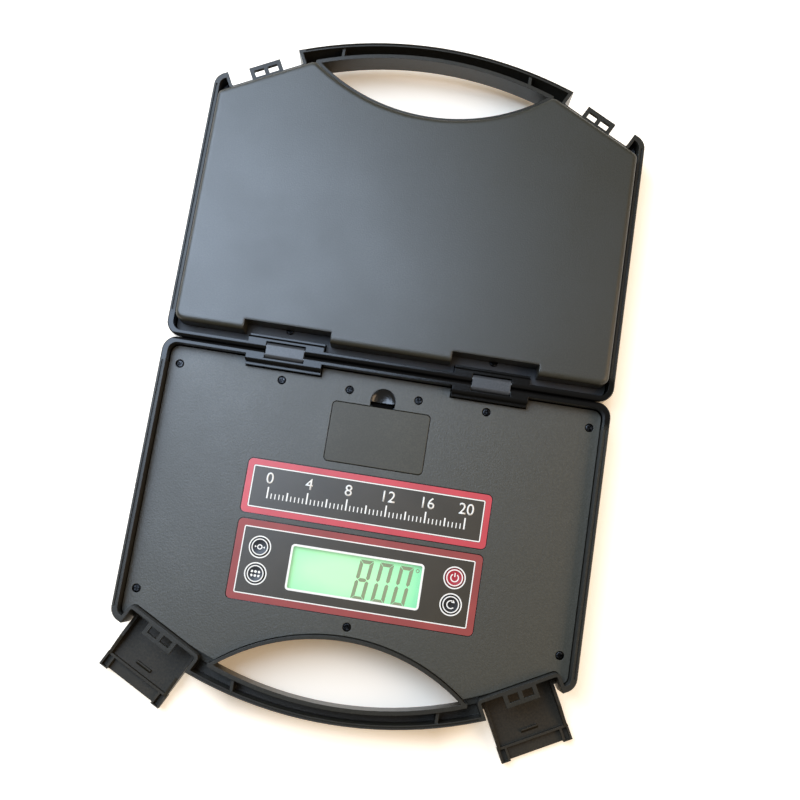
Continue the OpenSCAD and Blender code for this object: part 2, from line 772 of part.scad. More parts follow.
module battery_cover() {
    size = cover_size - [2, 2] * cover_gap;
    far = cover_y + cover_size[1] - cover_gap;
    color(black_plastic) on_display() {
        translate([0, cells_y, panel_z - cover_t]) linear_extrude(cover_t) centred_plate(size, 2.2);
        translate([-thumb_r + 1, cover_y - 2.2, panel_z - cover_t]) cube([2 * thumb_r - 2, 2.8, cover_t - 0.5]);
        for (s = [-1, 1]) translate([s * tab_x - tab_w / 2, far - 1.2, panel_under - 0.8]) {
            cube([tab_w, 1.2, panel_z - cover_t - panel_under + 0.8 + eps]);
            cube([tab_w, 2.9, 0.7]);
        }
    }
}

module display_feet() {
    color("#202020") on_display() feet();
}

module display_pins() {
    color(steel) on_display() pins();
}

module platform_pins() {
    color(steel) on_platform() pins();
}

module hinge_links() {
    color("#3a3b3d") on_platform() both_sides() translate([hinge_x, 0, pin_z]) difference() {
        along_x(link_w) {
            for (s = [-1, 1]) translate([s * pin_y, 0]) circle(r = link_r);
            square([2 * pin_y, 2 * link_r], center = true);
        }
        for (s = [-1, 1]) translate([0, s * pin_y, 0]) rotate([0, 90, 0])
            cylinder(r = pin_r + run_gap, h = link_w + 2, center = true);
    }
}

// The latch lies open: its cover is flat with the inner face up, and y points away from the case.
module latch() {
    inner = loop_out - pivot_out + loop_gap;
    side = (latch_w - latch_t) / 2;
    near = 2.4;
    stud = 5;
    rib_y = latch_len - lip_len - 1.3;
    hook_y = half_h + 2 * back_gap + loop_t + 0.4 - pivot_z;
    hook_h = hook_bite + loop_gap;
    difference() {
        union() {
            translate([-latch_w / 2, -near, -inner - latch_t]) cube([latch_w, near + latch_len, latch_t]);
            translate([-latch_w / 2, rib_y, -inner - eps]) cube([latch_w, 1.3, lip_wall + eps]);
            for (s = [-1, 1]) {
                translate([s * side, 0, 0]) {
                    rotate([0, 90, 0]) cylinder(r = near, h = latch_t, center = true);
                    translate([-latch_t / 2, -near, -inner - eps]) cube([latch_t, 2 * near, inner]);
                    translate([-latch_t / 2, 0, 0]) rotate([90, 0, 90]) linear_extrude(latch_t) polygon([[0, near],
                        [rib_y * 0.55, near], [rib_y + 1.3, lip_wall - inner], [rib_y + 1.3, -inner - eps], [0, -inner - eps]]);
                }
                translate([s * (latch_w / 2 - stud / 2 + 0.3) - stud / 2, rib_y, -inner - latch_t])
                    cube([stud, lip_len + 1.7, latch_t + lip_wall]);
            }
            translate([-hook_w / 2, hook_y, -inner - eps]) rotate([90, 0, 90]) linear_extrude(hook_w)
                polygon([[0, 0], [0, hook_h], [0.8, hook_h], [2, 0]]);
        }
        for (s = [-1, 1]) translate([s * (latch_w / 2 - stud / 2 + 0.3) - stud / 2 + 1.2, rib_y + 1.3, -inner])
            cube([stud - 2.4, lip_len - 0.2, big]);
    }
    for (s = [-1, 1]) translate([s * latch_w / 2, 0, 0]) rotate([0, s * 90, 0]) {
        cylinder(r = near - 0.1, h = latch_gap - 0.2);
        cylinder(r = trunnion_r, h = latch_gap + wall_t - 0.2);
    }
}

module latch_right() {
    color(black_plastic) on_display() at_latch() translate([0, pivot_out, pivot_z]) latch();
}

module latch_left() {
    color(black_plastic) mirror([1, 0, 0]) on_display() at_latch() translate([0, pivot_out, pivot_z]) latch();
}

module platform_shell() {
    color(black_plastic) on_platform() {
        shell_body();
        screw_bosses();
        for (p = base_plate_points) translate([p[0], load_y + p[1], floor_z - eps]) difference() {
            cylinder(r = boss_r, h = plate_z - floor_z + eps);
            translate([0, 0, 0.4]) cylinder(r = screw_r, h = big);
        }
    }
}

module platform_pan() {
    color(dark_plastic) on_platform() difference() {
        panel_sheet();
        translate([0, load_y, 0]) cube([bar_size[0] + 20, bar_size[1] + 24, big], center = true);
    }
}

module pan_screws() {
    color(steel) on_platform() screws();
}

module cell_base_plate() {
    color(steel) on_platform() translate([0, load_y, plate_z]) difference() {
        linear_extrude(steel_t) centred_plate(base_plate_size, 4);
        for (p = base_plate_points) translate([p[0], p[1], -1]) cylinder(r = screw_r, h = big);
        bolt_places(-1) translate([0, 0, -1]) cylinder(r = bolt_r, h = big);
    }
}

// The two bolt places at one end of the load cell.
module bolt_places(end) {
    for (dx = [-7, 7]) translate([end * (bar_size[0] - spacer_len) / 2 + dx, 0, 0]) children();
}

module base_plate_screws() {
    color(dark_plastic) on_platform() for (p = base_plate_points) translate([p[0], load_y + p[1], 0]) {
        translate([0, 0, plate_z + steel_t]) cylinder(r = 2.6, h = 1.6);
        translate([0, 0, floor_z + 0.5]) cylinder(r = screw_r, h = plate_z + steel_t - floor_z - 0.5 + eps);
    }
}

module spacer(end, z, t) {
    color(steel) on_platform() translate([0, load_y, z]) difference() {
        translate([end * (bar_size[0] - spacer_len) / 2 - spacer_len / 2, -bar_size[1] / 2, 0])
            cube([spacer_len, bar_size[1], t]);
        bolt_places(end) translate([0, 0, -1]) cylinder(r = bolt_r, h = big);
    }
}

module lower_spacer() {
    spacer(-1, plate_z + steel_t, spacer_t);
}

module upper_spacer() {
    spacer(1, bar_z + bar_size[2], carrier_z - bar_z - bar_size[2]);
}

module lower_bolts() {
    color(dark_plastic) on_platform() translate([0, load_y, 0]) bolt_places(-1) {
        translate([0, 0, plate_z - bolt_head_h]) cylinder(r = bolt_head_r, h = bolt_head_h);
        translate([0, 0, plate_z - eps]) cylinder(r = bolt_r, h = bar_z - plate_z + 8);
    }
}

module upper_bolts() {
    color(dark_plastic) on_platform() translate([0, load_y, 0]) bolt_places(1) {
        translate([0, 0, carrier_z + steel_t]) cylinder(r = bolt_head_r, h = bolt_head_h);
        translate([0, 0, bar_z + bar_size[2] - 8]) cylinder(r = bolt_r, h = carrier_z + steel_t - bar_z - bar_size[2] + 8 + eps);
    }
}

// Aluminium bar with the twin bores that let it bend under load.
module load_cell() {
    bore_r = 4.6;
    color("#c9ccd0") on_platform() translate([0, load_y, bar_z]) difference() {
        translate([-bar_size[0] / 2, -bar_size[1] / 2, 0]) cube(bar_size);
        for (s = [-1, 1]) translate([s * 9, 0, bar_size[2] / 2]) rotate([90, 0, 0])
            cylinder(r = bore_r, h = bar_size[1] + 2, center = true);
        translate([0, 0, bar_size[2] / 2]) cube([18, bar_size[1] + 2, 2.4], center = true);
        bolt_places(-1) translate([0, 0, -1]) cylinder(r = bolt_r, h = 10);
        bolt_places(1) translate([0, 0, bar_size[2] - 9]) cylinder(r = bolt_r, h = 10);
    }
}

module platform_carrier() {
    color(steel) on_platform() translate([0, load_y, carrier_z]) difference() {
        linear_extrude(steel_t) centred_plate(carrier_size, 8);
        for (s = [-1, 1]) translate([0, s * 32, -1]) linear_extrude(big) centred_plate([130, 20], 5);
        for (s = [-1, 1]) translate([s * 72, 0, -1]) linear_extrude(big) centred_plate([24, 36], 5);
        bolt_places(1) translate([0, 0, -1]) cylinder(r = bolt_r, h = big);
        for (p = carrier_points) translate([p[0], p[1], -1]) cylinder(r = thread_r, h = big);
    }
}

module carrier_screws() {
    color(dark_plastic) on_platform() for (p = carrier_points) translate([p[0], load_y + p[1], 0]) {
        translate([0, 0, carrier_z - 1.6]) cylinder(r = 3, h = 1.6);
        translate([0, 0, carrier_z - eps]) cylinder(r = thread_r, h = platform_under + 1 - carrier_z);
    }
}

// Outline of the weighing platform before its notches and its bay are cut, moved in by d.
module platform_outline(d = 0) {
    edge = case_w / 2 - rim_t - platform_gap;
    c1 = [edge - platform_corner, platform_back + platform_corner];
    c2 = meet([1, 0, edge - platform_shoulder], [out_dir[0], out_dir[1], tip_line + platform_tip - platform_shoulder]);
    right = [[c1[0], platform_back + d], [edge - d, c1[1]], [edge - d, c2[1]], c2 + out_dir * (platform_shoulder - d),
        tip_c + out_dir * (platform_tip - d), [tip_c[0], tip_c[1] + platform_tip - d]];
    left = [for (i = [5:-1:0]) [-right[i][0], right[i][1]]];
    polygon(concat(right, left));
    both_sides() {
        translate(c1) circle(r = platform_corner - d);
        translate(c2) circle(r = platform_shoulder - d);
        translate(tip_c) circle(r = platform_tip - d);
    }
}

module hinge_notches(grow = 0) {
    w = hinge_w + 2 * (notch_gap + grow);
    both_sides() translate([hinge_x - w / 2, -1]) square([w, platform_back + notch_d + grow + 1]);
}

// A solid slab under the platform's outline with a rounded edge on top.
module platform_slab() {
    e = platform_edge;
    hull() {
        translate([0, 0, skirt_z]) linear_extrude(platform_z - e - skirt_z) platform_outline($fn = 32);
        translate([0, 0, platform_z - e * 0.62]) linear_extrude(eps) platform_outline(e * 0.08, $fn = 32);
        translate([0, 0, platform_z - e * 0.29]) linear_extrude(eps) platform_outline(e * 0.29, $fn = 32);
        translate([0, 0, platform_z - e * 0.08]) linear_extrude(eps) platform_outline(e * 0.62, $fn = 32);
        translate([0, 0, platform_z - eps]) linear_extrude(eps) platform_outline(e, $fn = 32);
    }
}

// The cut that follows the finger opening, flared at the top by the platform's edge radius.
module platform_bay() {
    r = body_r + wall_t + platform_gap;
    e = platform_edge;
    translate([0, body_y + body_r, 0]) rotate_extrude($fn = 180) difference() {
        translate([0, skirt_z - 1]) square([r + e, platform_z - skirt_z + 2]);
        translate([r, skirt_z - 2]) square([e + 1, platform_z - e - skirt_z + 2]);
        translate([r + e, platform_z - e]) circle(r = e);
    }
}

module weighing_platform() {
    color(black_plastic) on_platform() {
        difference() {
            platform_slab();
            platform_bay();
            translate([0, 0, skirt_z - 1]) linear_extrude(big) hinge_notches();
            translate([0, 0, skirt_z - 1]) linear_extrude(platform_under - skirt_z + 1) difference() {
                platform_outline(skirt_t);
                hinge_notches(skirt_t);
                body_circle(wall_t + platform_gap + skirt_t);
            }
            for (p = carrier_points) translate([p[0], load_y + p[1], 0])
                cylinder(r = thread_r + thread_gap, h = platform_under + 1);
        }
        for (p = carrier_points) translate([p[0], load_y + p[1], carrier_z + steel_t]) difference() {
            cylinder(r = 4.5, h = platform_under - carrier_z - steel_t + eps);
            translate([0, 0, -1]) cylinder(r = thread_r + thread_gap, h = big);
        }
    }
}

module overload_stops() {
    color("#202020") on_platform() for (p = stop_points) translate([p[0], p[1], panel_z])
        cylinder(r = 4, h = platform_under - load_travel - 0.2 - panel_z);
}

module platform_feet() {
    color("#202020") on_platform() feet();
}

display_shell();
display_panel();
panel_screws();
name_plate();
control_plate();
display_window();
display_digits();
display_glass();
backlight();
circuit_board();
board_chips();
key_switches();
board_screws();
key_tare();
key_count();
key_power();
key_mode();
battery_box();
battery_cells();
battery_contacts();
battery_cover();
display_feet();
display_pins();
hinge_links();
platform_pins();
latch_left();
latch_right();
platform_shell();
platform_pan();
pan_screws();
cell_base_plate();
base_plate_screws();
lower_spacer();
lower_bolts();
load_cell();
upper_spacer();
upper_bolts();
platform_carrier();
carrier_screws();
weighing_platform();
overload_stops();
platform_feet();
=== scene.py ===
# A folding parcel scale, lying open on a table. The display half lies towards -Y and the
# weighing half towards +Y, and each section below is one piece or one group of like pieces.
import math

import bmesh
import bpy
from mathutils import Matrix, Vector


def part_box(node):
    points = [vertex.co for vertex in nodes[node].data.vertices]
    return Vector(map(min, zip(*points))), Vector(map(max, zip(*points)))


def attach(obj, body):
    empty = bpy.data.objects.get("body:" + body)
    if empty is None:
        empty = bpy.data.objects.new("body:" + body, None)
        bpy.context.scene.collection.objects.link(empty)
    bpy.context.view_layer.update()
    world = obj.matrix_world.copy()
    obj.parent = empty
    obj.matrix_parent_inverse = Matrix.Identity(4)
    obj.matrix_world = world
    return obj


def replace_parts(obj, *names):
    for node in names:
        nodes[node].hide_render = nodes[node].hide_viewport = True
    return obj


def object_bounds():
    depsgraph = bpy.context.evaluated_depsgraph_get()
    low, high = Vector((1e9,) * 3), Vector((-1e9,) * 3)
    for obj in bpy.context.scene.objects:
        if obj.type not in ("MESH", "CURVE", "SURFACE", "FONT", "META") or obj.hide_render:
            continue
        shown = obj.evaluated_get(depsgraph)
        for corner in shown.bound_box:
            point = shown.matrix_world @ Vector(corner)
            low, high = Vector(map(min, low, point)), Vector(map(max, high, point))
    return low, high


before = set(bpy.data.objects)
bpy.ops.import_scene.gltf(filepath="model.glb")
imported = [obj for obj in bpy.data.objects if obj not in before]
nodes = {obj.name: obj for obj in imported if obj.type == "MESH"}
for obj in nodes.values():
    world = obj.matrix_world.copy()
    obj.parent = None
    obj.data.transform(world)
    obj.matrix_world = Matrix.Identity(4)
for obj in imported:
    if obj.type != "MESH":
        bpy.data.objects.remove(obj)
cad_low, cad_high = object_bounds()
scene = bpy.context.scene
MM = 0.001


# ---------------------------------------------------------------------------------------
# Camera. It looks almost straight down on the open scale, from a little in front of the
# display half, and is rolled so that the scale leans to the right in the picture.
IMAGE_PX = 800
FOCAL_PX = 1050
SENSOR_MM = 36
NEAREST_M = 0.01
camera_place = Vector((15.3, -97.96, 572.1)) * MM
camera_azimuth = math.radians(4.23)
camera_elevation = math.radians(80.98)
camera_roll = math.radians(4.75)

camera = bpy.data.objects.new("camera", bpy.data.cameras.new("camera"))
camera.data.sensor_width = SENSOR_MM
camera.data.lens = FOCAL_PX / IMAGE_PX * SENSOR_MM
camera.data.clip_start = NEAREST_M
camera.matrix_world = (
    Matrix.Translation(camera_place)
    @ Matrix.Rotation(camera_azimuth, 4, "Z")
    @ Matrix.Rotation(math.pi / 2 - camera_elevation, 4, "X")
    @ Matrix.Rotation(camera_roll, 4, "Z")
)
scene.collection.objects.link(camera)
scene.camera = camera
scene.view_settings.view_transform = "Standard"


# ---------------------------------------------------------------------------------------
# Studio. A warm white floor glows to a clean white, which paints out the scale's shadow beside it,
# but close under the scale it glows weaker and in peach, so the soft shadow stays, painted warmer.
# A wide cool lamp like a window hangs over the left side, and a weaker warm one fills in from the right.
def linear(hex_colour):
    """An sRGB hex colour as linear RGBA."""
    channels = [int(hex_colour[i : i + 2], 16) / 255 for i in (1, 3, 5)]
    return (*(c / 12.92 if c <= 0.04045 else ((c + 0.055) / 1.055) ** 2.4 for c in channels), 1)


def add_node(tree, kind, inputs=None, **settings):
    """A new node with its settings. An input is given a value, a hex colour, a socket, or a
    node, which stands for the first of its outputs that is in use."""
    made = tree.nodes.new(kind)
    for name, value in settings.items():
        setattr(made, name, value)
    for name, value in (inputs or {}).items():
        if isinstance(value, bpy.types.Node):
            value = next(socket for socket in value.outputs if socket.enabled)
        if isinstance(value, bpy.types.NodeSocket):
            tree.links.new(value, made.inputs[name])
        else:
            made.inputs[name].default_value = linear(value) if isinstance(value, str) else value
    return made


def new_material(name):
    """An empty material, its node tree, and the place of a point on the piece, in metres."""
    material = bpy.data.materials.new(name)
    material.use_nodes = True
    tree = material.node_tree
    tree.nodes.clear()
    return material, tree, add_node(tree, "ShaderNodeTexCoord").outputs["Object"]


FLOOR_M = 8
GLOW_UNDER = 0.13
GLOW_BESIDE = 0.6
GLOW_AWAY = 0.95
GLOW_NEAR_M = 0.22
GLOW_FAR_M = 1.1
SHADOW_INNER = 0.93
SHADOW_OUTER = 1.0
CORNER_REACH = 1.1
floor_paint, tree, point = new_material("white_floor_paint")
matt = add_node(tree, "ShaderNodeBsdfDiffuse", {"Color": "#fdf5e6"})

# Reach is how far out a point lies, as a share of the open scale: straight out to a side, or
# slanting out to a corner, where the scale's outline is cut off.
across = add_node(tree, "ShaderNodeVectorMath", {0: point}, operation="ABSOLUTE")
shares = add_node(tree, "ShaderNodeVectorMath", {
    0: across, 1: (1 / cad_high.x, 1 / cad_high.y, 0)}, operation="MULTIPLY")
split = add_node(tree, "ShaderNodeSeparateXYZ", {0: shares}).outputs
straight = add_node(tree, "ShaderNodeMath", {0: split["X"], 1: split["Y"]}, operation="MAXIMUM")
slanting = add_node(tree, "ShaderNodeVectorMath", {0: shares}, operation="LENGTH")
cut_corner = add_node(tree, "ShaderNodeMath", {0: slanting, 1: CORNER_REACH}, operation="DIVIDE")
reach = add_node(tree, "ShaderNodeMath", {0: straight, 1: cut_corner}, operation="MAXIMUM")
# The glow is weak under the scale and strong just beside it, where it paints out the scale's shadow.
beside = add_node(tree, "ShaderNodeMapRange", {
    "Value": reach, "From Min": SHADOW_INNER, "From Max": SHADOW_OUTER})
near_level = add_node(tree, "ShaderNodeMapRange", {
    "Value": reach, "From Min": SHADOW_INNER, "From Max": SHADOW_OUTER,
    "To Min": GLOW_UNDER, "To Max": GLOW_BESIDE})
distance = add_node(tree, "ShaderNodeVectorMath", {0: point}, operation="LENGTH")
far = add_node(tree, "ShaderNodeMapRange", {
    "Value": distance, "From Min": GLOW_NEAR_M, "From Max": GLOW_FAR_M})

# Under the scale the glow is peach, a painted warm tint in the shade there; beside it, cream.
# In a Mix node, input 0 is the share, 2 and 3 are its two numbers, 6 and 7 its two colours.
shade_glow_tint = add_node(tree, "ShaderNodeMix", {0: beside, 6: "#ffd9ac", 7: "#ffeed8"},
                     data_type="RGBA")
tint = add_node(tree, "ShaderNodeMix", {0: far, 6: shade_glow_tint, 7: "#ffffff"}, data_type="RGBA")
level = add_node(tree, "ShaderNodeMix", {0: far, 2: near_level, 3: GLOW_AWAY}, data_type="FLOAT")
glow = add_node(tree, "ShaderNodeEmission", {"Color": tint, "Strength": level})
lit = add_node(tree, "ShaderNodeAddShader", {0: matt, 1: glow})

# The glow is there for rays that show the floor itself: camera, mirrored and see-through rays.
rays = add_node(tree, "ShaderNodeLightPath").outputs
mirrored = add_node(tree, "ShaderNodeMath", {
    0: rays["Is Camera Ray"], 1: rays["Is Glossy Ray"]}, operation="MAXIMUM")
seen = add_node(tree, "ShaderNodeMath", {
    0: mirrored, 1: rays["Is Transmission Ray"]}, operation="MAXIMUM")
shown = add_node(tree, "ShaderNodeMixShader", {0: seen, 1: matt, 2: lit})
add_node(tree, "ShaderNodeOutputMaterial", {"Surface": shown})

sheet = bmesh.new()
bmesh.ops.create_grid(sheet, x_segments=1, y_segments=1, size=FLOOR_M / 2)
floor_mesh = bpy.data.meshes.new("floor")
sheet.to_mesh(floor_mesh)
sheet.free()
floor = bpy.data.objects.new("floor", floor_mesh)
floor.data.materials.append(floor_paint)
scene.collection.objects.link(floor)

WORLD_FILL = 0.2
world = bpy.data.worlds.new("studio_room")
scene.world = world
world.use_nodes = True
tree = world.node_tree
tree.nodes.clear()
fill = add_node(tree, "ShaderNodeBackground", {"Color": "#f8f1e4", "Strength": WORLD_FILL})
white = add_node(tree, "ShaderNodeBackground", {"Color": "#ffffff", "Strength": 1})
rays = add_node(tree, "ShaderNodeLightPath").outputs
room = add_node(tree, "ShaderNodeMixShader", {0: rays["Is Camera Ray"], 1: fill, 2: white})
add_node(tree, "ShaderNodeOutputWorld", {"Surface": room})


def softbox(name, place, size, power, colour):
    """A flat area lamp at place, turned towards the middle of the scale."""
    lamp = bpy.data.lights.new(name, "AREA")
    lamp.shape = "RECTANGLE"
    lamp.size, lamp.size_y = size
    lamp.energy = power
    lamp.color = linear(colour)[:3]
    holder = bpy.data.objects.new(name, lamp)
    turn = (-Vector(place)).to_track_quat("-Z", "Y").to_matrix().to_4x4()
    holder.matrix_world = Matrix.Translation(place) @ turn
    scene.collection.objects.link(holder)


softbox("window_light", (-0.5, 0.36, 0.95), (0.72, 1.05), 20, "#cfe4ff")
softbox("warm_fill", (0.95, 0.0, 0.9), (0.7, 0.7), 6.5, "#ffdfba")


# ---------------------------------------------------------------------------------------
# The two case shells. Each is one injection moulding in black ABS with a spark-eroded grain,
# with its rim, handle, hinge blocks and catch loops. Its edges are softened by the mould.
ABS_IOR = 1.53
WORN_PATCH_MM = 38
SATIN_SPREAD = 0.03
# The near black of the painted shade along the seam and in recesses.
PAINTED_SHADE_TONE = "#0c0b0a"
POLISHED_ROUGHNESS = 0.17


def grained_abs(name, dark, light, grain_mm, relief_mm, roughness, corner_mm=0.35,
                polished=None, shine=0.5):
    """ABS from a spark-eroded mould: satin, speckled by the grain, and rubbed a little
    smoother in wide patches. The moulded corners catch a thin line of light. Where polished
    gives 1, the plastic is glossier and its colour is painted near black as shade.
    The real grain is too fine to show, so it is drawn coarser, as coarse as it needs to be."""
    material, tree, point = new_material(name)
    grain = add_node(tree, "ShaderNodeTexNoise", {
        "Vector": point, "Scale": 1 / (grain_mm * MM), "Detail": 3, "Roughness": 0.62})
    patches = add_node(tree, "ShaderNodeTexNoise", {
        "Vector": point, "Scale": 1 / (WORN_PATCH_MM * MM), "Detail": 4, "Roughness": 0.6})
    speckle = add_node(tree, "ShaderNodeMapRange", {
        "Value": grain, "From Min": 0.38, "From Max": 0.72})
    worn = add_node(tree, "ShaderNodeMapRange", {
        "Value": patches, "From Min": 0.32, "From Max": 0.68, "To Min": 0.25})
    shade = add_node(tree, "ShaderNodeMath", {0: speckle, 1: worn}, operation="MULTIPLY")
    tone = add_node(tree, "ShaderNodeMix", {0: shade, 6: dark, 7: light}, data_type="RGBA")
    satin = add_node(tree, "ShaderNodeMapRange", {
        "Value": patches, "From Min": 0.3, "From Max": 0.7,
        "To Min": roughness + SATIN_SPREAD, "To Max": roughness - SATIN_SPREAD})
    # Where the mask gives 1, the colour is painted near black as shade, and the roughness drops.
    if polished:
        part = polished(tree, point)
        tone = add_node(tree, "ShaderNodeMix", {0: part, 6: tone, 7: PAINTED_SHADE_TONE},
                        data_type="RGBA")
        satin = add_node(tree, "ShaderNodeMix", {0: part, 2: satin, 3: POLISHED_ROUGHNESS},
                         data_type="FLOAT")
    corner = add_node(tree, "ShaderNodeBevel", {"Radius": corner_mm * MM}, samples=4)
    relief = add_node(tree, "ShaderNodeBump", {
        "Height": grain, "Distance": relief_mm * MM, "Strength": 0.7, "Normal": corner})
    plastic = add_node(tree, "ShaderNodeBsdfPrincipled", {
        "Base Color": tone, "Roughness": satin, "Normal": relief, "IOR": ABS_IOR,
        "Specular IOR Level": shine})
    add_node(tree, "ShaderNodeOutputMaterial", {"Surface": plastic})
    return material


def paint_node(material, *names):
    """Gives CAD nodes their finish."""
    for name in names:
        nodes[name].data.materials.clear()
        nodes[name].data.materials.append(material)


SEAM_Y = 4.4 * MM
SEAM_SHADE_FULL_TO = 11 * MM
SEAM_SHADE_GONE_FROM = 15 * MM
RECESS_DEPTH = 0.3 * MM
RECESS_BLEND = 0.05 * MM


def seam_shade_band(tree, point):
    """1 along the seam between the two rims, where the shell is painted near black as shade, and 0 from 15 mm away.
    """
    split = add_node(tree, "ShaderNodeSeparateXYZ", {0: point}).outputs
    offset = add_node(tree, "ShaderNodeMath", {0: split["Y"], 1: SEAM_Y}, operation="SUBTRACT")
    away = add_node(tree, "ShaderNodeMath", {0: offset}, operation="ABSOLUTE")
    return add_node(tree, "ShaderNodeMapRange", {
        "Value": away, "From Min": SEAM_SHADE_FULL_TO, "From Max": SEAM_SHADE_GONE_FROM,
        "To Min": 1, "To Max": 0})


def sunk_below(top):
    """1 for what lies deeper than 0.3 mm under that height, such as a recess, and 0 above it. It marks where the
    colour is painted near black as shade.
    """
    brink = top - RECESS_DEPTH

    def sunk(tree, point):
        split = add_node(tree, "ShaderNodeSeparateXYZ", {0: point}).outputs
        return add_node(tree, "ShaderNodeMapRange", {
            "Value": split["Z"], "From Min": brink - RECESS_BLEND,
            "From Max": brink + RECESS_BLEND, "To Min": 1, "To Max": 0})

    return sunk


# Along the seam the shell is painted near black as shade, and is glossier.
shell_abs = grained_abs("black_abs_shell", "#28251e", "#3a362b", 0.8, 0.04, 0.36,
                        polished=seam_shade_band, shine=0.33)
paint_node(shell_abs, "display_shell", "platform_shell")


# ---------------------------------------------------------------------------------------
# The two flat mouldings that close the shells. The display panel has the coarsest grain, which
# glitters in low light, and is painted near black as shade below its top; the pan under the platform is the same
# ABS, without that shade or gloss.
panel_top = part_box("display_panel")[1].z
# Everything of the panel more than 0.3 mm below its top, its recesses, sides and underside, is painted near black
# as shade, and glossier.
panel_abs = grained_abs("black_abs_panel", "#3c382b", "#4c4739", 0.9, 0.13, 0.4,
                        polished=sunk_below(panel_top), shine=0.62)
paint_node(panel_abs, "display_panel")
pan_abs = grained_abs("black_abs_pan", "#242527", "#303133", 0.8, 0.04, 0.5)
paint_node(pan_abs, "platform_pan")


# ---------------------------------------------------------------------------------------
# Self-tapping screws, nine in each half. They are cold-formed steel with a cross recess and
# a rounded head, blackened in an oxide bath that leaves them dark with a hard, oily shine.
SAME_PLACE = 1e-7
SAME_LEVEL = 1e-6
FULL_TURN = math.tau


def everything(shape):
    """All points, edges and faces of a bmesh."""
    return list(shape.verts) + list(shape.edges) + list(shape.faces)


def points_in(geometry):
    """The points among the results of a bmesh operation."""
    return [g for g in geometry if isinstance(g, bmesh.types.BMVert)]


def edges_in(geometry):
    """The edges among the results of a bmesh operation."""
    return [g for g in geometry if isinstance(g, bmesh.types.BMEdge)]


def face_outwards(shape):
    """Turns every face's front outwards."""
    bmesh.ops.recalc_face_normals(shape, faces=list(shape.faces))


def solids_of(name):
    """The lowest and highest corners of each separate solid of a CAD node, in a fixed order."""
    copy = bmesh.new()
    copy.from_mesh(nodes[name].data)
    bmesh.ops.remove_doubles(copy, verts=copy.verts, dist=SAME_LEVEL)
    left = set(copy.verts)
    found = []
    while left:
        front = [left.pop()]
        island = []
        while front:
            vertex = front.pop()
            island.append(vertex.co.copy())
            for edge in vertex.link_edges:
                other = edge.other_vert(vertex)
                if other in left:
                    left.discard(other)
                    front.append(other)
        found.append([Vector([pick(p[i] for p in island) for i in range(3)])
                      for pick in (min, max)])
    copy.free()
    return sorted(found, key=lambda corners: tuple(corners[0]))


def new_piece(name, shape, material, body):
    """Turns a bmesh into a piece that rides on a body, and frees the bmesh."""
    mesh = bpy.data.meshes.new(name)
    shape.to_mesh(mesh)
    shape.free()
    piece = bpy.data.objects.new(name, mesh)
    piece.data.materials.append(material)
    scene.collection.objects.link(piece)
    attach(piece, body)
    return piece


def lathe(shape, outline, steps=32):
    """Turns an outline of (radius, height) points in millimetres round the Z axis."""
    verts = [shape.verts.new((r * MM, 0, h * MM)) for r, h in outline]
    edges = [shape.edges.new(pair) for pair in zip(verts, verts[1:])]
    bmesh.ops.spin(shape, geom=verts + edges, cent=(0, 0, 0), axis=(0, 0, 1), angle=FULL_TURN,
                   steps=steps, use_merge=True)
    bmesh.ops.remove_doubles(shape, verts=shape.verts, dist=SAME_PLACE)


def put_copies(shape, places):
    """Repeats what the shape holds at each (turn, place), and leaves out the first one."""
    first = everything(shape)
    for turn, place in places:
        corners = points_in(bmesh.ops.duplicate(shape, geom=first)["geom"])
        bmesh.ops.rotate(shape, verts=corners, cent=(0, 0, 0), matrix=Matrix.Rotation(turn, 3, "Z"))
        bmesh.ops.translate(shape, verts=corners, vec=place)
    bmesh.ops.delete(shape, geom=points_in(first), context="VERTS")
    face_outwards(shape)


def cross_head(shape, head_r, head_h, shank_r, length):
    """One screw standing on Z, with its head's top at height 0. Sizes are in millimetres."""
    lathe(shape, [(head_r * 0.66, 0), (head_r * 0.8, -0.06), (head_r * 0.94, -0.25), (head_r, -0.5),
                  (head_r, -head_h), (shank_r, -head_h), (shank_r, 0.4 - length),
                  (shank_r * 0.6, -length), (0, -length)])
    rim = [e for e in shape.edges if e.is_boundary and all(v.co.z > -SAME_LEVEL for v in e.verts)]
    arm, half = head_r * 0.56 * MM, head_r * 0.13 * MM
    corners = []
    for quarter in range(4):
        turned = Matrix.Rotation(quarter * math.pi / 2, 3, "Z")
        for place in ((half, half, 0), (arm, half, 0), (arm, -half, 0)):
            corners.append(shape.verts.new(turned @ Vector(place)))
    # Going round by angle joins each arm's last corner to the next arm's inner corner.
    order = sorted(corners, key=lambda v: math.atan2(v.co.y, v.co.x) % math.tau)
    cross = [shape.edges.new((order[i], order[i - 1])) for i in range(len(order))]
    bmesh.ops.triangle_fill(shape, edges=rim + cross, use_beauty=True)
    sunk = bmesh.ops.extrude_edge_only(shape, edges=cross)["geom"]
    for vertex in points_in(sunk):
        vertex.co = Vector((vertex.co.x * 0.5, vertex.co.y * 0.5, -head_h * 0.75 * MM))
    bmesh.ops.edgeloop_fill(shape, edges=edges_in(sunk))


# Each screw was driven home at its own angle, a step of this many radians from the last one.
SCREW_TURN_STEP = 0.7


def draw_screws(node_name, material, body, slot, *sizes):
    """Draws a cross-headed screw for each solid of a CAD node, in place of that node."""
    screws = bmesh.new()
    cross_head(screws, *sizes)
    put_copies(screws, [(i * SCREW_TURN_STEP, ((low.x + high.x) / 2, (low.y + high.y) / 2, high.z))
                        for i, (low, high) in enumerate(solids_of(node_name))])
    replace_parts(new_piece(node_name + "_cross_head", screws, material, body), node_name)


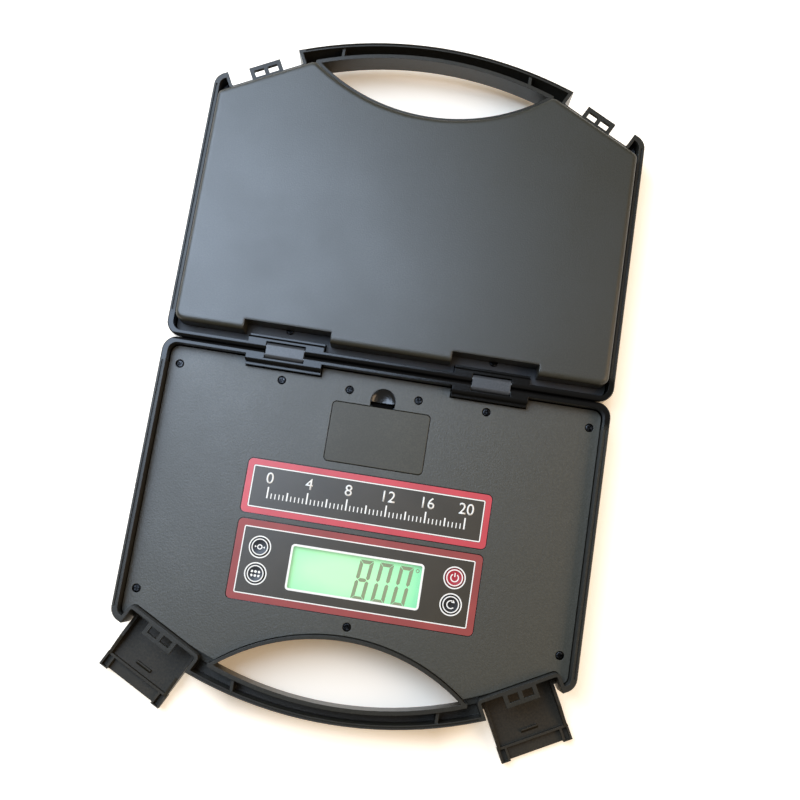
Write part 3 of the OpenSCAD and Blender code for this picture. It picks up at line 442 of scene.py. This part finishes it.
RUBBED_SPOT_MM = 1.2
screw_black, tree, point = new_material("oxide_blackened_steel")
rubbed = add_node(tree, "ShaderNodeTexNoise", {
    "Vector": point, "Scale": 1 / (RUBBED_SPOT_MM * MM), "Detail": 3})
bared = add_node(tree, "ShaderNodeMapRange", {"Value": rubbed, "From Min": 0.45, "From Max": 0.7})
oiled = add_node(tree, "ShaderNodeMapRange", {
    "Value": rubbed, "From Min": 0.3, "From Max": 0.7, "To Min": 0.24, "To Max": 0.36})
tone = add_node(tree, "ShaderNodeMix", {0: bared, 6: "#1b1b1c", 7: "#4a4b4d"}, data_type="RGBA")
steel = add_node(tree, "ShaderNodeBsdfPrincipled", {
    "Base Color": tone, "Metallic": 1, "Roughness": oiled})
add_node(tree, "ShaderNodeOutputMaterial", {"Surface": steel})

# Head radius, head height, shank radius and length.
PANEL_SCREW_MM = (2.1, 1.3, 1.1, 7)
draw_screws("panel_screws", screw_black, "display_half", "black_oxide", *PANEL_SCREW_MM)
draw_screws("pan_screws", screw_black, "platform_half", "black_oxide", *PANEL_SCREW_MM)


# ---------------------------------------------------------------------------------------
# Feet and stops. They are moulded in black nitrile rubber, which is matt and faintly dusty,
# so it is never quite black: four round feet glued under each half, and four stops that
# catch the platform before the load cell is overloaded.
DUST_MM = 2.5
foot_rubber, tree, point = new_material("moulded_black_rubber")
dust = add_node(tree, "ShaderNodeTexNoise", {
    "Vector": point, "Scale": 1 / (DUST_MM * MM), "Detail": 5, "Roughness": 0.7})
dusty = add_node(tree, "ShaderNodeMapRange", {"Value": dust, "From Min": 0.4, "From Max": 0.75})
tone = add_node(tree, "ShaderNodeMix", {0: dusty, 6: "#191919", 7: "#3c3b39"}, data_type="RGBA")
corner = add_node(tree, "ShaderNodeBevel", {"Radius": 0.3 * MM}, samples=4)
relief = add_node(tree, "ShaderNodeBump", {
    "Height": dust, "Distance": 0.04 * MM, "Strength": 0.5, "Normal": corner})
rubber = add_node(tree, "ShaderNodeBsdfPrincipled", {
    "Base Color": tone, "Roughness": 0.82, "Normal": relief})
add_node(tree, "ShaderNodeOutputMaterial", {"Surface": rubber})
paint_node(foot_rubber, "display_feet", "platform_feet", "overload_stops")


# ---------------------------------------------------------------------------------------
# The name plate. It is a stiff red film, screen printed with a dark field inside a red
# border and a thin white line. Its name is left off, and plain graduations take the place.
INK_T = 0.03 * MM
LINE_W = 0.55 * MM
FIGURE_WEIGHT = 0.004
FONT_PER_FIGURE = 1.4


def soften(shape, geometry, radius, segments, affect="EDGES"):
    """Rounds edges, or the corners of a flat outline."""
    bmesh.ops.bevel(shape, geom=geometry, offset=radius, offset_type="OFFSET", segments=segments,
                    profile=0.5, affect=affect, material=-1)


def flat_patch(shape, centre, size, corner, z):
    """Adds a flat rounded rectangle at height z and returns its face."""
    place = Matrix.Translation((centre[0], centre[1], z))
    stretch = Matrix.Diagonal((size[0] / 2, size[1] / 2, 1, 1))
    known = set(shape.faces)
    made = bmesh.ops.create_grid(shape, x_segments=1, y_segments=1, size=1, matrix=place @ stretch)
    if corner:
        soften(shape, made["verts"], corner, 6, "VERTICES")
    return max((f for f in shape.faces if f not in known), key=lambda f: f.calc_area())


def frame_line(shape, centre, size, corner, width, z):
    """Adds a flat line of that width that follows a rounded rectangle on the inside."""
    face = flat_patch(shape, centre, size, corner, z)
    bmesh.ops.inset_region(shape, faces=[face], thickness=width, use_even_offset=True,
                           use_boundary=True)
    bmesh.ops.delete(shape, geom=[face], context="FACES")


def arc_line(shape, centre, radius, width, z, start=0, sweep=FULL_TURN):
    """Adds a flat arc of ink, or a closed ring."""
    aim = Vector((math.cos(start), math.sin(start), 0))
    middle = Vector((centre[0], centre[1], z))
    ends = [shape.verts.new(middle + aim * (radius + side * width / 2)) for side in (-1, 1)]
    edge = shape.edges.new(ends)
    bmesh.ops.spin(shape, geom=ends + [edge], cent=middle, axis=(0, 0, 1), angle=sweep,
                   steps=max(6, int(40 * sweep / FULL_TURN)), use_merge=sweep == FULL_TURN)


def figures(shape, words, height, place):
    """Adds plain figures as flat ink, centred at place."""
    curve = bpy.data.curves.new("figures", "FONT")
    curve.body = words
    curve.align_x = "CENTER"
    curve.align_y = "CENTER"
    curve.offset = FIGURE_WEIGHT
    holder = bpy.data.objects.new("figures", curve)
    flat = bpy.data.meshes.new_from_object(holder)
    flat.transform(Matrix.Translation(place) @ Matrix.Scale(height * FONT_PER_FIGURE, 4))
    shape.from_mesh(flat)
    bpy.data.objects.remove(holder)
    bpy.data.curves.remove(curve)
    bpy.data.meshes.remove(flat)


def thicken(shape, thickness):
    """Gives flat ink its thickness, upwards."""
    bmesh.ops.remove_doubles(shape, verts=shape.verts, dist=SAME_PLACE)
    raised = bmesh.ops.extrude_face_region(shape, geom=list(shape.faces), use_keep_orig=True)
    bmesh.ops.translate(shape, verts=points_in(raised["geom"]), vec=(0, 0, thickness))
    face_outwards(shape)


POLYCARBONATE_IOR = 1.58
MOTTLE_MM = 18
ORANGE_PEEL_MM = 1.6


def printed_film(name, colour, roughness, tint):
    """Printed polycarbonate film: an even colour under a gloss with a slight orange peel."""
    material, tree, point = new_material(name)
    mottle = add_node(tree, "ShaderNodeTexNoise", {
        "Vector": point, "Scale": 1 / (MOTTLE_MM * MM), "Detail": 4})
    peel = add_node(tree, "ShaderNodeTexNoise", {
        "Vector": point, "Scale": 1 / (ORANGE_PEEL_MM * MM), "Detail": 2})
    brightness = add_node(tree, "ShaderNodeMapRange", {
        "Value": mottle, "From Min": 0.3, "From Max": 0.7, "To Min": 1 - tint, "To Max": 1 + tint})
    tone = add_node(tree, "ShaderNodeHueSaturation", {"Color": colour, "Value": brightness})
    relief = add_node(tree, "ShaderNodeBump", {
        "Height": peel, "Distance": 0.02 * MM, "Strength": 0.25})
    film = add_node(tree, "ShaderNodeBsdfPrincipled", {
        "Base Color": tone, "Roughness": roughness, "Normal": relief, "IOR": POLYCARBONATE_IOR})
    add_node(tree, "ShaderNodeOutputMaterial", {"Surface": film})
    return material


def middle_of(name):
    """The middle, the size and the top of a CAD node."""
    low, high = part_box(name)
    return (low + high) / 2, high - low, high.z


# The name plate's red is drawn lighter and pinker than the control plate's: a painted sheen on the same film.
sheen_painted_red = printed_film("red_printed_film", "#cc4448", 0.36, 0.1)
dark_ink = printed_film("dark_brown_screen_ink", "#3d3424", 0.34, 0.12)
white_ink = printed_film("white_screen_ink", "#fbf3e4", 0.5, 0.02)
paint_node(sheen_painted_red, "name_plate")

NAME_BORDER = 3.1 * MM
centre, size, top = middle_of("name_plate")
field = (size.x - 2 * NAME_BORDER, size.y - 2 * NAME_BORDER)
ink = bmesh.new()
flat_patch(ink, centre, field, 0.9 * MM, top)
thicken(ink, INK_T)
new_piece("name_plate_field", ink, dark_ink, "display_half")

# The graduated line has 50 steps, a longer stroke at each fifth and a figure at each tenth.
TICKS = 50
TICK_STEP = 2.1 * MM
FIGURE_H = 6 * MM
FIGURE_RISE = 10.4 * MM
FIELD_TO_LINE = 0.3 * MM
stroke_foot = centre.y - 5.6 * MM
ink_top = top + INK_T
marks = bmesh.new()
frame_line(marks, centre, (field[0] - FIELD_TO_LINE, field[1] - FIELD_TO_LINE), 0.8 * MM, LINE_W,
           ink_top)
for i in range(TICKS + 1):
    x = centre.x + (i - TICKS / 2) * TICK_STEP
    stroke_w = (0.75 if i % 5 == 0 else 0.5) * MM
    stroke_h = (6 if i % 10 == 0 else 4.4 if i % 5 == 0 else 2.8) * MM
    flat_patch(marks, (x, stroke_foot + stroke_h / 2), (stroke_w, stroke_h), 0, ink_top)
    if i % 10 == 0:
        figures(marks, str(i * 2 // 5), FIGURE_H, (x, stroke_foot + FIGURE_RISE, ink_top))
thicken(marks, INK_T)
new_piece("name_plate_graduations", marks, white_ink, "display_half")


# ---------------------------------------------------------------------------------------
# The control plate. The same film in a duller red, without the name plate's painted sheen, cut out for the window
# and the keys.
# The dark field is printed up to those holes, and white rings and lines go round them.
dull_red = printed_film("dull_red_printed_film", "#98392f", 0.46, 0.12)
paint_node(dull_red, "control_plate")

CONTROL_BORDER = (3.6 * MM, 3.4 * MM)
centre, size, top = middle_of("control_plate")
field = (size.x - 2 * CONTROL_BORDER[0], size.y - 2 * CONTROL_BORDER[1])
ink = bmesh.new()
ink.from_mesh(nodes["control_plate"].data)
bmesh.ops.remove_doubles(ink, verts=ink.verts, dist=SAME_LEVEL)
lower = [f for f in ink.faces if min(v.co.z for v in f.verts) < top - SAME_LEVEL]
bmesh.ops.delete(ink, geom=lower, context="FACES")
for axis in (0, 1):
    for side in (-1, 1):
        away = Vector((0, 0, 0))
        away[axis] = side
        bmesh.ops.bisect_plane(ink, geom=everything(ink), dist=SAME_PLACE, plane_no=away,
                               plane_co=centre + away * (field[axis] / 2), clear_outer=True)
thicken(ink, INK_T)
new_piece("control_plate_field", ink, dark_ink, "display_half")

KEYS = {"key_tare": "tare_key", "key_count": "count_key", "key_power": "power_key",
        "key_mode": "mode_key"}
KEY_LINE_R = 5.55 * MM
KEY_LINE_W = 0.65 * MM
WINDOW_LINE_W = 1.1 * MM
WINDOW_TO_LINE = 0.5 * MM
ink_top = top + INK_T
marks = bmesh.new()
frame_line(marks, centre, field, 0.9 * MM, LINE_W, ink_top)
window_mid, window_size, _ = middle_of("display_window")
frame_line(marks, window_mid, (window_size.x + WINDOW_TO_LINE, window_size.y + WINDOW_TO_LINE),
           2 * MM, WINDOW_LINE_W, ink_top)
for key_name in KEYS:
    arc_line(marks, middle_of(key_name)[0], KEY_LINE_R, KEY_LINE_W, ink_top)
thicken(marks, INK_T)
new_piece("control_plate_lines", marks, white_ink, "display_half")


# ---------------------------------------------------------------------------------------
# The display. A clear film covers a twisted-nematic glass, whose segments turn brown-grey,
# and a green light guide glows behind it, brightest a little left of the glass's middle.
clear_film, tree, point = new_material("clear_polycarbonate_film")
scuffs = add_node(tree, "ShaderNodeTexNoise", {"Vector": point, "Scale": 1 / (6 * MM), "Detail": 5})
scuffed = add_node(tree, "ShaderNodeMapRange", {
    "Value": scuffs, "From Min": 0.3, "From Max": 0.7, "To Min": 0.1, "To Max": 0.22})
pane = add_node(tree, "ShaderNodeBsdfPrincipled", {
    "Base Color": "#f4fff4", "Roughness": scuffed, "Alpha": 0.05, "IOR": POLYCARBONATE_IOR})
add_node(tree, "ShaderNodeOutputMaterial", {"Surface": pane})
paint_node(clear_film, "display_window")

LIGHT_SHIFT = 8 * MM
LIGHT_REACH = (44 * MM, 19 * MM)
HAZE_MM = 9
glass_mid = middle_of("display_glass")[0]
lit_glass, tree, point = new_material("backlit_liquid_crystal_glass")
placed = add_node(tree, "ShaderNodeMapping", {
    "Vector": point, "Scale": (1 / LIGHT_REACH[0], 1 / LIGHT_REACH[1], 0),
    "Location": ((LIGHT_SHIFT - glass_mid.x) / LIGHT_REACH[0], -glass_mid.y / LIGHT_REACH[1], 0)})
spread = add_node(tree, "ShaderNodeVectorMath", {0: placed}, operation="LENGTH")
haze = add_node(tree, "ShaderNodeTexNoise", {
    "Vector": point, "Scale": 1 / (HAZE_MM * MM), "Detail": 2})
hazed = add_node(tree, "ShaderNodeMapRange", {"Value": haze, "To Min": -0.12, "To Max": 0.12})
uneven = add_node(tree, "ShaderNodeMath", {0: spread, 1: hazed}, operation="ADD")
fading = add_node(tree, "ShaderNodeMapRange", {"Value": uneven, "From Min": 0.3, "From Max": 1.05})
green = add_node(tree, "ShaderNodeMix", {0: fading, 6: "#aee6a6", 7: "#84d898"}, data_type="RGBA")
cell = add_node(tree, "ShaderNodeBsdfPrincipled", {
    "Base Color": green, "Roughness": 0.25, "Emission Color": green, "Emission Strength": 0.45})
add_node(tree, "ShaderNodeOutputMaterial", {"Surface": cell})
paint_node(lit_glass, "display_glass")

segment, tree, point = new_material("liquid_crystal_segment")
depth = add_node(tree, "ShaderNodeTexNoise", {"Vector": point, "Scale": 1 / (7 * MM), "Detail": 1})
tone = add_node(tree, "ShaderNodeMix", {0: depth, 6: "#6e7448", 7: "#868d5c"}, data_type="RGBA")
turned = add_node(tree, "ShaderNodeBsdfPrincipled", {
    "Base Color": tone, "Roughness": 0.4, "Emission Color": tone, "Emission Strength": 0.2})
add_node(tree, "ShaderNodeOutputMaterial", {"Surface": turned})
paint_node(segment, "display_digits")

ACRYLIC_IOR = 1.49
DOT_STEP_MM = 1.5
diffuser, tree, point = new_material("moulded_acrylic_light_guide")
dots = add_node(tree, "ShaderNodeTexVoronoi", {"Vector": point, "Scale": 1 / (DOT_STEP_MM * MM)})
between = add_node(tree, "ShaderNodeMapRange", {"Value": dots, "From Min": 0, "From Max": 0.4})
milk = add_node(tree, "ShaderNodeMix", {0: between, 6: "#ffffff", 7: "#d4f0cf"}, data_type="RGBA")
guide = add_node(tree, "ShaderNodeBsdfPrincipled", {
    "Base Color": milk, "Roughness": 0.3, "IOR": ACRYLIC_IOR, "Emission Color": milk,
    "Emission Strength": 0.3})
add_node(tree, "ShaderNodeOutputMaterial", {"Surface": guide})
paint_node(diffuser, "backlight")


# ---------------------------------------------------------------------------------------
# The four keys. Each is an ABS cap with a slightly dished, polished face, held under the
# panel by its flange, and printed with a white ring and a sign: zero, count, power and mode.
KEY_R = 4.8
FLANGE_OUT = 1.3
FLANGE_T = 1
STEM_R = 1.8
SIGN_T = 0.04 * MM
SIGN_R = 2.0 * MM
SIGN_W = 0.55 * MM
SIGN_SUNK = 0.16 * MM
key_black = grained_abs("black_abs_polished_key", "#1d1b1a", "#2b2827", 1.2, 0.01, 0.3, 0.2)
key_red = grained_abs("red_abs_polished_key", "#a82834", "#bd3a44", 1.2, 0.01, 0.3, 0.2)


def triangle(shape, centre, radius, aim, z):
    """Adds a flat three-cornered mark that points towards aim."""
    place = Matrix.Translation((centre[0], centre[1], z))
    turn = Matrix.Rotation(aim, 4, "Z") @ Matrix.Rotation(-math.pi / 2, 4, "Z")
    bmesh.ops.create_circle(shape, cap_ends=True, segments=3, radius=radius, matrix=place @ turn)


def draw_sign(shape, key_name, centre, z):
    """Adds a key's sign: a zero between arrows, six dots, a power sign or a turned arrow."""
    if key_name == "key_tare":
        arc_line(shape, centre, 1.1 * MM, SIGN_W, z)
        for side in (-1, 1):
            triangle(shape, (centre.x + side * 2.55 * MM, centre.y), 0.95 * MM,
                     math.pi / 2 * (1 + side), z)
    elif key_name == "key_count":
        for row in (-1, 1):
            for column in (-1, 0, 1):
                dot = (centre.x + column * 1.9 * MM, centre.y + row * 1.05 * MM)
                arc_line(shape, dot, 0.34 * MM, 0.66 * MM, z)
    elif key_name == "key_power":
        arc_line(shape, centre, SIGN_R, SIGN_W, z, math.radians(125), math.radians(290))
        flat_patch(shape, (centre.x, centre.y + 1.5 * MM), (SIGN_W, 2.1 * MM), 0, z)
    else:
        arc_line(shape, centre, SIGN_R, SIGN_W, z, math.radians(60), math.radians(260))
        triangle(shape, (centre.x + 1.1 * MM, centre.y + 1.6 * MM), 1.05 * MM,
                 math.radians(-35), z)


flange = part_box("display_panel")[0].z / MM - 0.1
for key_name, body in KEYS.items():
    centre, _, top = middle_of(key_name)
    tip = top / MM
    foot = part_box(key_name)[0].z / MM
    cap = bmesh.new()
    lathe(cap, [(0, tip - 0.22), (KEY_R * 0.45, tip - 0.16), (KEY_R * 0.8, tip - 0.02),
                (KEY_R * 0.88, tip), (KEY_R * 0.95, tip - 0.08), (KEY_R * 0.99, tip - 0.3),
                (KEY_R, tip - 0.6), (KEY_R, flange), (KEY_R + FLANGE_OUT, flange),
                (KEY_R + FLANGE_OUT, flange - FLANGE_T), (STEM_R, flange - FLANGE_T),
                (STEM_R, foot), (0, foot)], 64)
    bmesh.ops.translate(cap, verts=cap.verts, vec=(centre.x, centre.y, 0))
    face_outwards(cap)
    is_power = key_name == "key_power"
    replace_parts(new_piece(key_name + "_cap", cap, key_red if is_power else key_black, body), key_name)

    sign = bmesh.new()
    arc_line(sign, centre, KEY_R * 0.85 * MM, SIGN_W, top - 0.01 * MM)
    draw_sign(sign, key_name, centre, top - SIGN_SUNK)
    thicken(sign, SIGN_T)
    new_piece(key_name + "_sign", sign, white_ink, body)


# ---------------------------------------------------------------------------------------
# The circuit board. Fibreglass with a green solder mask over its tracks, with black epoxy
# chips under it and a tact switch under each key. Four bright screws hold it to its posts.
board_mask, tree, point = new_material("green_solder_mask")
tracks = add_node(tree, "ShaderNodeTexBrick", {
    "Vector": point, "Color1": "#1d5a30", "Color2": "#236a39", "Mortar": "#3f8a4c",
    "Scale": 1 / (20 * MM), "Mortar Size": 0.02, "Brick Width": 0.42, "Row Height": 0.11})
weave = add_node(tree, "ShaderNodeTexNoise", {
    "Vector": point, "Scale": 1 / (0.8 * MM), "Detail": 2})
gloss = add_node(tree, "ShaderNodeMapRange", {
    "Value": weave, "From Min": 0.3, "From Max": 0.7, "To Min": 0.28, "To Max": 0.42})
relief = add_node(tree, "ShaderNodeBump", {
    "Height": tracks.outputs["Fac"], "Distance": 0.05 * MM, "Strength": 0.5})
mask = add_node(tree, "ShaderNodeBsdfPrincipled", {
    "Base Color": tracks, "Normal": relief, "Roughness": gloss})
add_node(tree, "ShaderNodeOutputMaterial", {"Surface": mask})
paint_node(board_mask, "circuit_board")
epoxy = grained_abs("black_moulded_epoxy", "#161617", "#232325", 0.5, 0.02, 0.4, 0.15)
paint_node(epoxy, "board_chips", "key_switches")

BLOTCH_MM = 22


def plated_steel(name, colour, grain_mm, stretch, roughness):
    """Plated or bare bright metal: even in colour, with the fine lines of rolling, drawing or
    milling, which are drawn a little coarser than they are so that they show."""
    material, tree, point = new_material(name)
    drawn = add_node(tree, "ShaderNodeMapping", {"Vector": point, "Scale": stretch})
    lines = add_node(tree, "ShaderNodeTexNoise", {
        "Vector": drawn, "Scale": 1 / (grain_mm * MM), "Detail": 4})
    blotch = add_node(tree, "ShaderNodeTexNoise", {
        "Vector": point, "Scale": 1 / (BLOTCH_MM * MM), "Detail": 3})
    brightness = add_node(tree, "ShaderNodeMapRange", {
        "Value": blotch, "From Min": 0.3, "From Max": 0.7, "To Min": 0.88, "To Max": 1.06})
    tone = add_node(tree, "ShaderNodeHueSaturation", {"Color": colour, "Value": brightness})
    sheen = add_node(tree, "ShaderNodeMapRange", {
        "Value": lines, "From Min": 0.3, "From Max": 0.7,
        "To Min": roughness - 0.06, "To Max": roughness + 0.08})
    corner = add_node(tree, "ShaderNodeBevel", {"Radius": 0.2 * MM}, samples=4)
    relief = add_node(tree, "ShaderNodeBump", {
        "Height": lines, "Distance": 0.01 * MM, "Strength": 0.4, "Normal": corner})
    metal = add_node(tree, "ShaderNodeBsdfPrincipled", {
        "Base Color": tone, "Metallic": 1, "Normal": relief, "Roughness": sheen})
    add_node(tree, "ShaderNodeOutputMaterial", {"Surface": metal})
    return material


# Head radius, head height, shank radius and length.
BOARD_SCREW_MM = (2.2, 1.4, 1.1, 6)
zinc_plate = plated_steel("zinc_plated_rolled_steel", "#c2c5c9", 0.7, (0.15, 1, 1), 0.34)
drawn_pin = plated_steel("drawn_bright_steel", "#c9cbce", 0.5, (0.1, 1, 1), 0.22)
draw_screws("board_screws", drawn_pin, "display_half", "bright_steel", *BOARD_SCREW_MM)


# ---------------------------------------------------------------------------------------
# The battery bay. Three cells in printed shrink sleeves lie in an ABS box between nickel
# contacts with coil springs, under a lid that hooks in by two tabs and snaps at the thumb.
def block(shape, near, far):
    """Adds a block between two corners, with its edges rounded."""
    near, far = Vector(near), Vector(far)
    place = Matrix.Translation((near + far) / 2) @ Matrix.Diagonal((*(far - near), 1))
    made = bmesh.ops.create_cube(shape, size=1, matrix=place)
    soften(shape, [e for e in shape.edges if e.verts[0] in made["verts"]], 0.15 * MM, 2)


box_abs = grained_abs("black_abs_battery_box", "#222325", "#2e2f31", 0.7, 0.04, 0.5)
paint_node(box_abs, "battery_box")

COVER_T = 1.6 * MM
SNAP_OUT = 2.5 * MM
SNAP_HALF = 5.6 * MM
HOOK_OUT = 1.7 * MM
HOOK_HALF = 4 * MM
HOOK_X = 16 * MM
WALL_T = 1.2 * MM
low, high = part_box("battery_cover")
snap_y = high.y - SNAP_OUT
plate_y = low.y + HOOK_OUT
lid = bmesh.new()
flat_patch(lid, (0, (plate_y + snap_y) / 2), (high.x - low.x, snap_y - plate_y), 2.2 * MM,
           high.z - COVER_T)
thicken(lid, COVER_T)
brim = [e for e in lid.edges if all(v.co.z > high.z - SAME_LEVEL for v in e.verts)]
soften(lid, brim, 0.3 * MM, 3)

# The snap is a thin wall that goes down through the panel and ends in a small sloped hook.
block(lid, (-SNAP_HALF, snap_y - 1.0 * MM, low.z),
      (SNAP_HALF, snap_y + 0.2 * MM, high.z - COVER_T / 2))
hook_top = high.z - 1.1 * MM
hook_mid = Vector((0, (snap_y + high.y) / 2, (low.z + hook_top) / 2))
hook_size = Matrix.Diagonal((2 * SNAP_HALF, high.y - snap_y, hook_top - low.z, 1))
hook = bmesh.ops.create_cube(lid, size=1, matrix=Matrix.Translation(hook_mid) @ hook_size)
for vertex in hook["verts"]:
    if vertex.co.y > hook_mid.y and vertex.co.z > hook_mid.z:
        vertex.co.z = low.z + 0.3 * MM

# At the other end, two tabs go down behind the panel's edge and hook under it.
for middle in (-HOOK_X, HOOK_X):
    left, right = middle - HOOK_HALF, middle + HOOK_HALF
    block(lid, (left, plate_y, low.z), (right, plate_y + WALL_T, high.z - COVER_T / 2))
    block(lid, (left, low.y, low.z), (right, plate_y + WALL_T, low.z + 0.7 * MM))
face_outwards(lid)
# Everything of the lid more than 0.3 mm below its top, its sides, snap and tabs, is painted near black as shade,
# and glossier.
cover_abs = grained_abs("black_abs_battery_cover", "#3b3628", "#4d4735", 0.7, 0.03, 0.42,
                        polished=sunk_below(high.z), shine=0.42)
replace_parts(new_piece("battery_lid_with_snap", lid, cover_abs, "battery_lid"),
            "battery_cover")

BAND_X = 9 * MM
sleeve, tree, point = new_material("printed_shrink_sleeve")
split = add_node(tree, "ShaderNodeSeparateXYZ", {0: point}).outputs
band = add_node(tree, "ShaderNodeMath", {0: split["X"], 1: BAND_X}, operation="GREATER_THAN")
metallic = add_node(tree, "ShaderNodeMapRange", {"Value": band, "To Min": 0.1, "To Max": 0.7})
tone = add_node(tree, "ShaderNodeMix", {0: band, 6: "#24262b", 7: "#b98a45"}, data_type="RGBA")
creases = add_node(tree, "ShaderNodeTexNoise", {
    "Vector": point, "Scale": 1 / (5 * MM), "Detail": 3})
relief = add_node(tree, "ShaderNodeBump", {
    "Height": creases, "Distance": 0.1 * MM, "Strength": 0.3})
film = add_node(tree, "ShaderNodeBsdfPrincipled", {
    "Base Color": tone, "Roughness": 0.3, "Normal": relief, "Metallic": metallic})
add_node(tree, "ShaderNodeOutputMaterial", {"Surface": film})
paint_node(sleeve, "battery_cells")

CONTACT_T = 0.4
CONTACT_CORNER = 0.8
WIRE_R = 0.3
COIL_R = 2.9
COIL_TURNS = 3
COIL_TURN_STEPS = 16
COIL_TAPER = 0.35


def coil_spring(rise):
    """A mesh of a coil spring that stands on Z, rises by that much and narrows on its way."""
    coil = bmesh.new()
    place = Matrix.Translation((COIL_R * MM, 0, 0)) @ Matrix.Rotation(math.pi / 2, 4, "X")
    bmesh.ops.create_circle(coil, segments=8, radius=WIRE_R * MM, matrix=place)
    steps = COIL_TURNS * COIL_TURN_STEPS
    bmesh.ops.spin(coil, geom=list(coil.verts) + list(coil.edges), cent=(0, 0, 0), axis=(0, 0, 1),
                   dvec=(0, 0, rise / steps), angle=FULL_TURN * COIL_TURNS, steps=steps)
    bmesh.ops.holes_fill(coil, edges=list(coil.edges))
    for vertex in coil.verts:
        narrow = 1 - COIL_TAPER * min(max(vertex.co.z / rise, 0), 1)
        vertex.co.x *= narrow
        vertex.co.y *= narrow
    face_outwards(coil)
    spring = bpy.data.meshes.new("spring")
    coil.to_mesh(spring)
    coil.free()
    return spring


contacts = bmesh.new()
for low, high in solids_of("battery_contacts"):
    mid = (low + high) / 2
    side = 1 if mid.x > 0 else -1
    wall_x = high.x if side > 0 else low.x
    place = Matrix.Translation((wall_x - side * CONTACT_T / 2 * MM, mid.y, mid.z))
    plate_size = Matrix.Diagonal((CONTACT_T * MM, high.y - low.y, high.z - low.z, 1))
    plate = bmesh.ops.create_cube(contacts, size=1, matrix=place @ plate_size)
    through = [e for e in contacts.edges if e.verts[0] in plate["verts"]
               and abs(e.verts[0].co.x - e.verts[1].co.x) > SAME_LEVEL]
    soften(contacts, through, CONTACT_CORNER * MM, 4)
    # A contact that is deeper than its plate also has a spring.
    depth = (high.x - low.x) / MM
    if depth > CONTACT_T + 0.2:
        spring = coil_spring((depth - CONTACT_T - WIRE_R) * MM)
        face = Matrix.Translation((wall_x - side * CONTACT_T * MM, mid.y, mid.z))
        spring.transform(face @ Matrix.Rotation(-side * math.pi / 2, 4, "Y"))
        contacts.from_mesh(spring)
        bpy.data.meshes.remove(spring)
face_outwards(contacts)
nickel = plated_steel("nickel_plated_spring_steel", "#cfcbc2", 0.4, (1, 1, 0.2), 0.24)
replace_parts(new_piece("battery_contact_plates_and_springs", contacts, nickel, "display_half"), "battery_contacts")

# The thumb lifts the lid from a dished hollow in the panel, polished to a gloss and painted near
# black as shade. Its outline is cut off straight beside the lid's snap.
lid_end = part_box("battery_cover")[1].y
hollow = bmesh.new()
lathe(hollow, [(0, -1.85), (6.5, -1.85), (6.5, -0.15), (5.9, -0.55), (4.9, -1.0), (3.4, -1.4),
               (1.8, -1.62), (0, -1.7)], 48)
bmesh.ops.translate(hollow, verts=hollow.verts, vec=(0, lid_end + 1.2 * MM, panel_top))
cut = bmesh.ops.bisect_plane(hollow, geom=everything(hollow), dist=SAME_PLACE, clear_outer=True,
                             plane_co=(0, lid_end + 0.5 * MM, 0), plane_no=(0, -1, 0))
bmesh.ops.edgeloop_fill(hollow, edges=edges_in(cut["geom_cut"]))
face_outwards(hollow)
# The hollow is drawn near black, as painted shade.
hollow_abs_painted_shade = grained_abs("black_abs_glossy_hollow_painted_shade", "#12110f", "#1c1a17", 1.4, 0.02, 0.2, 0.2)
new_piece("thumb_hollow", hollow, hollow_abs_painted_shade, "display_half")


# ---------------------------------------------------------------------------------------
# The hinges. Two moulded links join the halves, each on two drawn steel pins that are
# pressed into the lugs, so the case can open flat. The links are polished by handling.
link_abs = grained_abs("black_abs_hinge_link", "#3a3a3a", "#52514f", 0.8, 0.03, 0.32)
paint_node(link_abs, "hinge_links")
paint_node(drawn_pin, "display_pins", "platform_pins")


# ---------------------------------------------------------------------------------------
# The latches. Each is an ABS cover that turns on its two trunnions. It lies open with its
# unpolished inner face up, which is browner and duller than the rest of the case.
latch_abs = grained_abs("black_abs_latch", "#2a251b", "#42392a", 1.1, 0.06, 0.46, shine=0.32)
paint_node(latch_abs, "latch_left", "latch_right")


# ---------------------------------------------------------------------------------------
# The load cell. A milled aluminium bar with twin bores is bolted between a steel base plate
# and the pressed steel carrier, with a zinc-plated spacer at each end and oxide-black bolts.
paint_node(zinc_plate, "cell_base_plate", "lower_spacer", "upper_spacer", "platform_carrier")
aluminium = plated_steel("milled_aluminium", "#d3d6d9", 0.9, (1, 0.12, 1), 0.3)
paint_node(aluminium, "load_cell")
paint_node(screw_black, "base_plate_screws", "lower_bolts", "upper_bolts", "carrier_screws")


# ---------------------------------------------------------------------------------------
# The weighing platform. A shallow ABS tray turned over the load cell, with a wide flat top
# in a finer grain than the panel's, and a rounded edge that shines all round.
platform_abs = grained_abs("black_abs_platform", "#2f2c20", "#3b372b", 0.85, 0.08, 0.36, 1.8,
                           shine=0.66)
paint_node(platform_abs, "weighing_platform")
